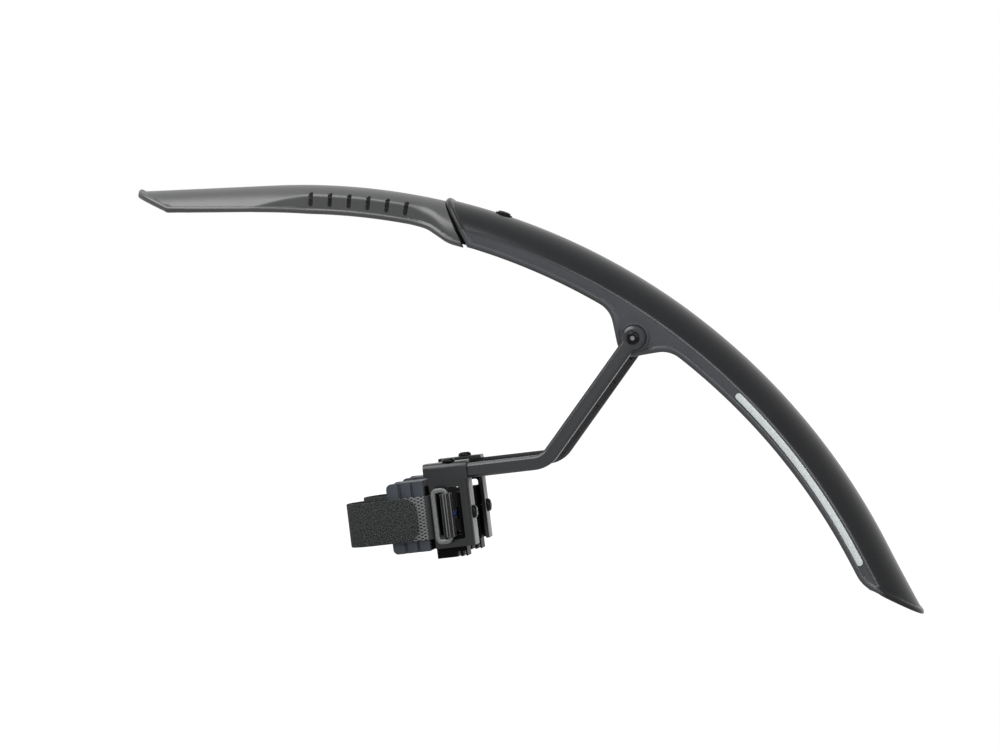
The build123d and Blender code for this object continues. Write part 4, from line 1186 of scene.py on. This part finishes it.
class MUDGUARD_OT_screws(bpy.types.Operator):
    """Build the button-head screws of the guard and of both clamps"""

    bl_idname = "mudguard.screws"
    bl_label = "Build screws"

    def execute(self, context):
        # The second finish is the painted glint in the sockets
        black, glint = "gloss black steel", "bare socket steel"
        out = np.array([cos(CROWN_SCREW_ANGLE), 0, sin(CROWN_SCREW_ANGLE)])
        heads = [(AXLE + out * (CROWN_R - CROWN_SEAT_DEPTH), out)]
        head_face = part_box("right_stay")[1].y / MM + BOLT_GAP
        for side in SIDES.values():
            heads.append((np.array([PIVOT[0], side * head_face, PIVOT[2]]), side * ACROSS))
        screws = (screw(*CROWN_SCREW, CROWN_FLANGE), screw(*PIVOT_BOLT), screw(*PIVOT_BOLT))
        shape = join(*(placed(piece, *head) for piece, head in zip(screws, heads)))
        piece = add_piece("guard_button_screws", shape, "guard", "black_steel", black, "guard_screws")
        # Painted glint: the sockets get the lighter steel
        self.paint(piece.data, glint, heads, SOCKET_PAINT_R, HEAD_R)
        for name, side in SIDES.items():
            arm = f"{name}_arm"
            top = (clamp_points(TOP_SCREW_PLACE, STAY_MID, FLANGE_TOP, side), UPWARD)
            back = (clamp_points(SIDE_SCREW_PLACE, LEG_OFFSET, SIDE_SCREW_HEIGHT, side), ALONG)
            shape = join(placed(screw(*TOP_SCREW), *top), placed(screw(*SIDE_SCREW), *back))
            piece = add_piece(
                f"{name}_button_screws", shape, arm, "black_steel", black, f"{name}_clamp_screws"
            )
            patch = (back[0] - ALONG * PATCH_PLACE, -ALONG)
            self.paint(piece.data, "thread lock patch", [patch], 2 * SHANK_R, HEAD_R)
            # Painted glint: the sockets get the lighter steel
            self.paint(piece.data, glint, [top, back], SOCKET_PAINT_R, HEAD_R)
            nut = placed(thin_nut(), clamp_points(NUT_PLACE, LEG_OFFSET, SIDE_SCREW_HEIGHT, side), ALONG)
            add_piece(f"{name}_thin_nut", nut, arm, "nut_steel", black, f"{name}_carrier_nut")
        return {"FINISHED"}

    def paint(self, mesh, material, places, radius, reach):
        """Gives a further material to the faces ahead of each (place, axis), within a radius and a reach."""
        mesh.materials.append(finish(material))
        centres = np.zeros(len(mesh.polygons) * 3)
        mesh.polygons.foreach_get("center", centres)
        chosen = np.zeros(len(mesh.polygons), np.int32)
        mesh.polygons.foreach_get("material_index", chosen)
        for place, axis in places:
            gap = centres.reshape(-1, 3) / MM - place
            ahead = gap @ axis
            beside = np.linalg.norm(gap - ahead[:, None] * axis, axis=1)
            chosen[(ahead > 0) & (ahead < reach) & (beside < radius)] = len(mesh.materials) - 1
        mesh.polygons.foreach_set("material_index", chosen)


class MUDGUARD_OT_straps(bpy.types.Operator):
    """Build the straps, hook tabs and rings of both clamps"""

    bl_idname = "mudguard.straps"
    bl_label = "Build straps"

    def execute(self, context):
        for name, side in SIDES.items():
            for piece, shape, slot, material, node in (
                ("loop_strap", strap_band(side), "strap_fabric", "brushed strap pile", "strap"),
                ("hook_strip", tab_band(side), "hook_fabric", "hook tab mesh", "hook_tab"),
                ("wire_ring", ring_loop(side), "ring_steel", "ring steel", "strap_ring"),
            ):
                add_piece(f"{name}_{piece}", shape, f"{name}_arm", slot, material, f"{name}_{node}")
        return {"FINISHED"}


class MUDGUARD_OT_hardware(bpy.types.Operator):
    """Round the edges of the remaining frame pieces and give them their finish"""

    bl_idname = "mudguard.hardware"
    bl_label = "Finish hardware"

    # Finish and width of the rounded edges in millimetres, by kind of piece
    looks = {
        "stay": ("satin stay plastic", 0.8),
        "clamp_bracket": ("charcoal powder coat", 0.6),
        "pad_carrier": ("black carrier plastic", 0.25),
        "pad": ("pad rubber", 0.7),
        "reflector": ("reflective film", 0.1),
    }
    flat_angle = radians(0.6)
    bevel_angle = radians(32)
    bevel_steps = 3

    def execute(self, context):
        for side in SIDES:
            for kind, (material, width) in self.looks.items():
                self.soften(NODES[f"{side}_{kind}"], finish(material), width)
        self.soften(NODES["guard_nuts"], finish("zinc plated steel"), 0.15)
        self.soften(NODES["friction_washers"], finish("black washer nylon"), 0.1)
        return {"FINISHED"}

    def soften(self, node, material, width):
        """Merges a frame piece's triangles into flat faces, rounds its edges and paints it."""
        node.data.materials.clear()
        node.data.materials.append(material)
        node.data.shade_smooth()
        weld = node.modifiers.new("weld", "WELD")
        weld.merge_threshold = WELD * MM
        flat = node.modifiers.new("flat faces", "DECIMATE")
        flat.decimate_type = "DISSOLVE"
        flat.angle_limit = self.flat_angle
        edge = node.modifiers.new("round edges", "BEVEL")
        edge.width = width * MM
        edge.segments = self.bevel_steps
        edge.limit_method = "ANGLE"
        edge.angle_limit = self.bevel_angle
        edge.harden_normals = True


class MUDGUARD_OT_stage(bpy.types.Operator):
    """Set the floor, light, background and camera"""

    bl_idname = "mudguard.stage"
    bl_label = "Set stage"

    # Camera, in metres and radians; lens and sensor are millimetres
    target = Vector((0.06371, 0.0, 0.08101))
    distance = 2.5
    azimuth = radians(8.07)
    elevation = radians(2.17)
    lens = 156.46
    sensor = 36.0
    clip = (0.05, 50.0)
    # Floor: metres below the object and to its edge, tone, glow, and the glow's share from near to far
    floor_drop = 0.11
    floor_reach = 12.0
    floor_tone = (0.5, 0.5, 0.5, 1)
    floor_glow = 1.1
    glow_share = (0.7, 2.0, 0.8, 1.0)
    # Lamps: place and size in metres, roll, the name of the level, and whether glossy faces mirror the lamp
    aim = Vector((0.05, 0.0, 0.1))
    lamps = {
        "left softbox": ((-0.6, -0.5, 1.5), (1.9, 1.4), 0.0, "left_light", True),
        "right strip": ((1.1, -1.46, 0.96), (1.5, 0.25), radians(-45), "right_light", True),
        "front fill": ((0.6, -3.2, 0.5), (1.6, 1.0), 0.0, "front_light", True),
        "back fill": ((0.0, 2.0, 1.0), (2.4, 1.6), 0.0, "back_light", False),
    }

    def execute(self, context):
        scene = context.scene
        stage = scene.mudguard_stage
        scene.view_settings.view_transform = "Standard"
        self.camera(scene)
        self.world(scene, stage.room_light)
        self.floor(scene)
        for name, (place, size, roll, level, mirrored) in self.lamps.items():
            self.lamp(scene, name, Vector(place), size, roll, getattr(stage, level), mirrored)
        return {"FINISHED"}

    def camera(self, scene):
        """Camera on the photograph's line of sight, at a distance from its target."""
        data = bpy.data.cameras.new("camera")
        data.lens = self.lens
        data.sensor_width = self.sensor
        data.clip_start, data.clip_end = self.clip
        rig = bpy.data.objects.new("camera", data)
        flat = cos(self.elevation)
        away = Vector((sin(self.azimuth) * flat, -cos(self.azimuth) * flat, sin(self.elevation)))
        rig.location = self.target + away * self.distance
        rig.rotation_euler = (pi / 2 - self.elevation, 0.0, self.azimuth)
        scene.collection.objects.link(rig)
        scene.camera = rig

    def seen(self, tree):
        """One for camera, glossy and transmission rays, else zero."""
        path = tree.nodes.new("ShaderNodeLightPath").outputs
        either = maths(tree, "MAXIMUM", path["Is Camera Ray"], path["Is Glossy Ray"])
        return maths(tree, "MAXIMUM", either, path["Is Transmission Ray"])

    def world(self, scene, strength):
        """White where it is seen, and an even light of the given strength on the object."""
        world = bpy.data.worlds.new("white room")
        scene.world = world
        world.use_nodes = True
        tree = world.node_tree
        background = tree.nodes["Background"]
        put(tree, background.inputs["Color"], WHITE)
        put(tree, background.inputs["Strength"], ramp(tree, self.seen(tree), 0.0, 1.0, strength, 1.0))

    def floor(self, scene):
        """Pale floor below the object: white where it is seen, darkened only by the object's shadow."""
        low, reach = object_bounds()[0].z - self.floor_drop, self.floor_reach
        corners = [(x * reach, y * reach, low) for x, y in ((-1, -1), (1, -1), (1, 1), (-1, 1))]
        mesh = bpy.data.meshes.new("floor")
        mesh.from_pydata(corners, [], [(0, 1, 2, 3)])
        floor = bpy.data.objects.new("floor", mesh)
        scene.collection.objects.link(floor)
        material, tree = new_material("pale floor")
        shade(material, {"Base Color": self.floor_tone, "Roughness": 0.9})
        place = texture_place(tree, "Object")
        away = node_with(tree, "ShaderNodeVectorMath", {0: place}, operation="LENGTH").outputs["Value"]
        share = maths(tree, "MULTIPLY", ramp(tree, away, *self.glow_share), self.seen(tree))
        glow = node_with(tree, "ShaderNodeEmission", {"Color": WHITE, "Strength": self.floor_glow})
        plain = tree.nodes["Principled BSDF"].outputs["BSDF"]
        mix = node_with(tree, "ShaderNodeMixShader", {0: share, 1: plain, 2: glow.outputs["Emission"]})
        put(tree, tree.nodes["Material Output"].inputs["Surface"], mix.outputs["Shader"])
        mesh.materials.append(material)
        floor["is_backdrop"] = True

    def lamp(self, scene, name, place, size, roll, power, mirrored):
        """Rectangular softbox that faces the aim, rolled about its own axis and mirrored in gloss or not."""
        data = bpy.data.lights.new(name, "AREA")
        data.shape = "RECTANGLE"
        data.size, data.size_y = size
        data.energy = power
        lamp = bpy.data.objects.new(name, data)
        lamp.location = place
        facing = (self.aim - place).to_track_quat("-Z", "Y")
        lamp.rotation_euler = (facing @ Quaternion((0, 0, 1), roll)).to_euler()
        lamp.visible_camera = False
        lamp.visible_glossy = mirrored
        scene.collection.objects.link(lamp)


class MUDGUARD_PT_panel(bpy.types.Panel):
    """Sizes, colours, light and the build steps of the mudguard"""

    bl_idname = "MUDGUARD_PT_panel"
    bl_label = "Mudguard"
    bl_space_type = "VIEW_3D"
    bl_region_type = "UI"
    bl_category = "Mudguard"

    def draw(self, context):
        layout = self.layout
        for group in GROUPS:
            settings = getattr(context.scene, group)
            for name in settings.__annotations__:
                layout.prop(settings, name)
        for step in STEPS:
            layout.operator(step.bl_idname)


STEPS = (
    MUDGUARD_OT_finishes,
    MUDGUARD_OT_guard,
    MUDGUARD_OT_screws,
    MUDGUARD_OT_straps,
    MUDGUARD_OT_hardware,
    MUDGUARD_OT_stage,
)
GROUPS = {
    "mudguard_sizes": MudguardSizes,
    "mudguard_colours": MudguardColours,
    "mudguard_stage": MudguardStage,
}
CLASSES = (*GROUPS.values(), *STEPS, MUDGUARD_PT_panel)


def register():
    for cls in CLASSES:
        bpy.utils.register_class(cls)
    for name, group in GROUPS.items():
        setattr(bpy.types.Scene, name, bpy.props.PointerProperty(type=group))


def unregister():
    for name in GROUPS:
        delattr(bpy.types.Scene, name)
    for cls in reversed(CLASSES):
        bpy.utils.unregister_class(cls)


def main():
    """Registers the add-on and runs its steps in order."""
    register()
    bpy.ops.mudguard.finishes()
    bpy.ops.mudguard.guard()
    bpy.ops.mudguard.screws()
    bpy.ops.mudguard.straps()
    bpy.ops.mudguard.hardware()
    bpy.ops.mudguard.stage()


if __name__ == "__main__":
    main()
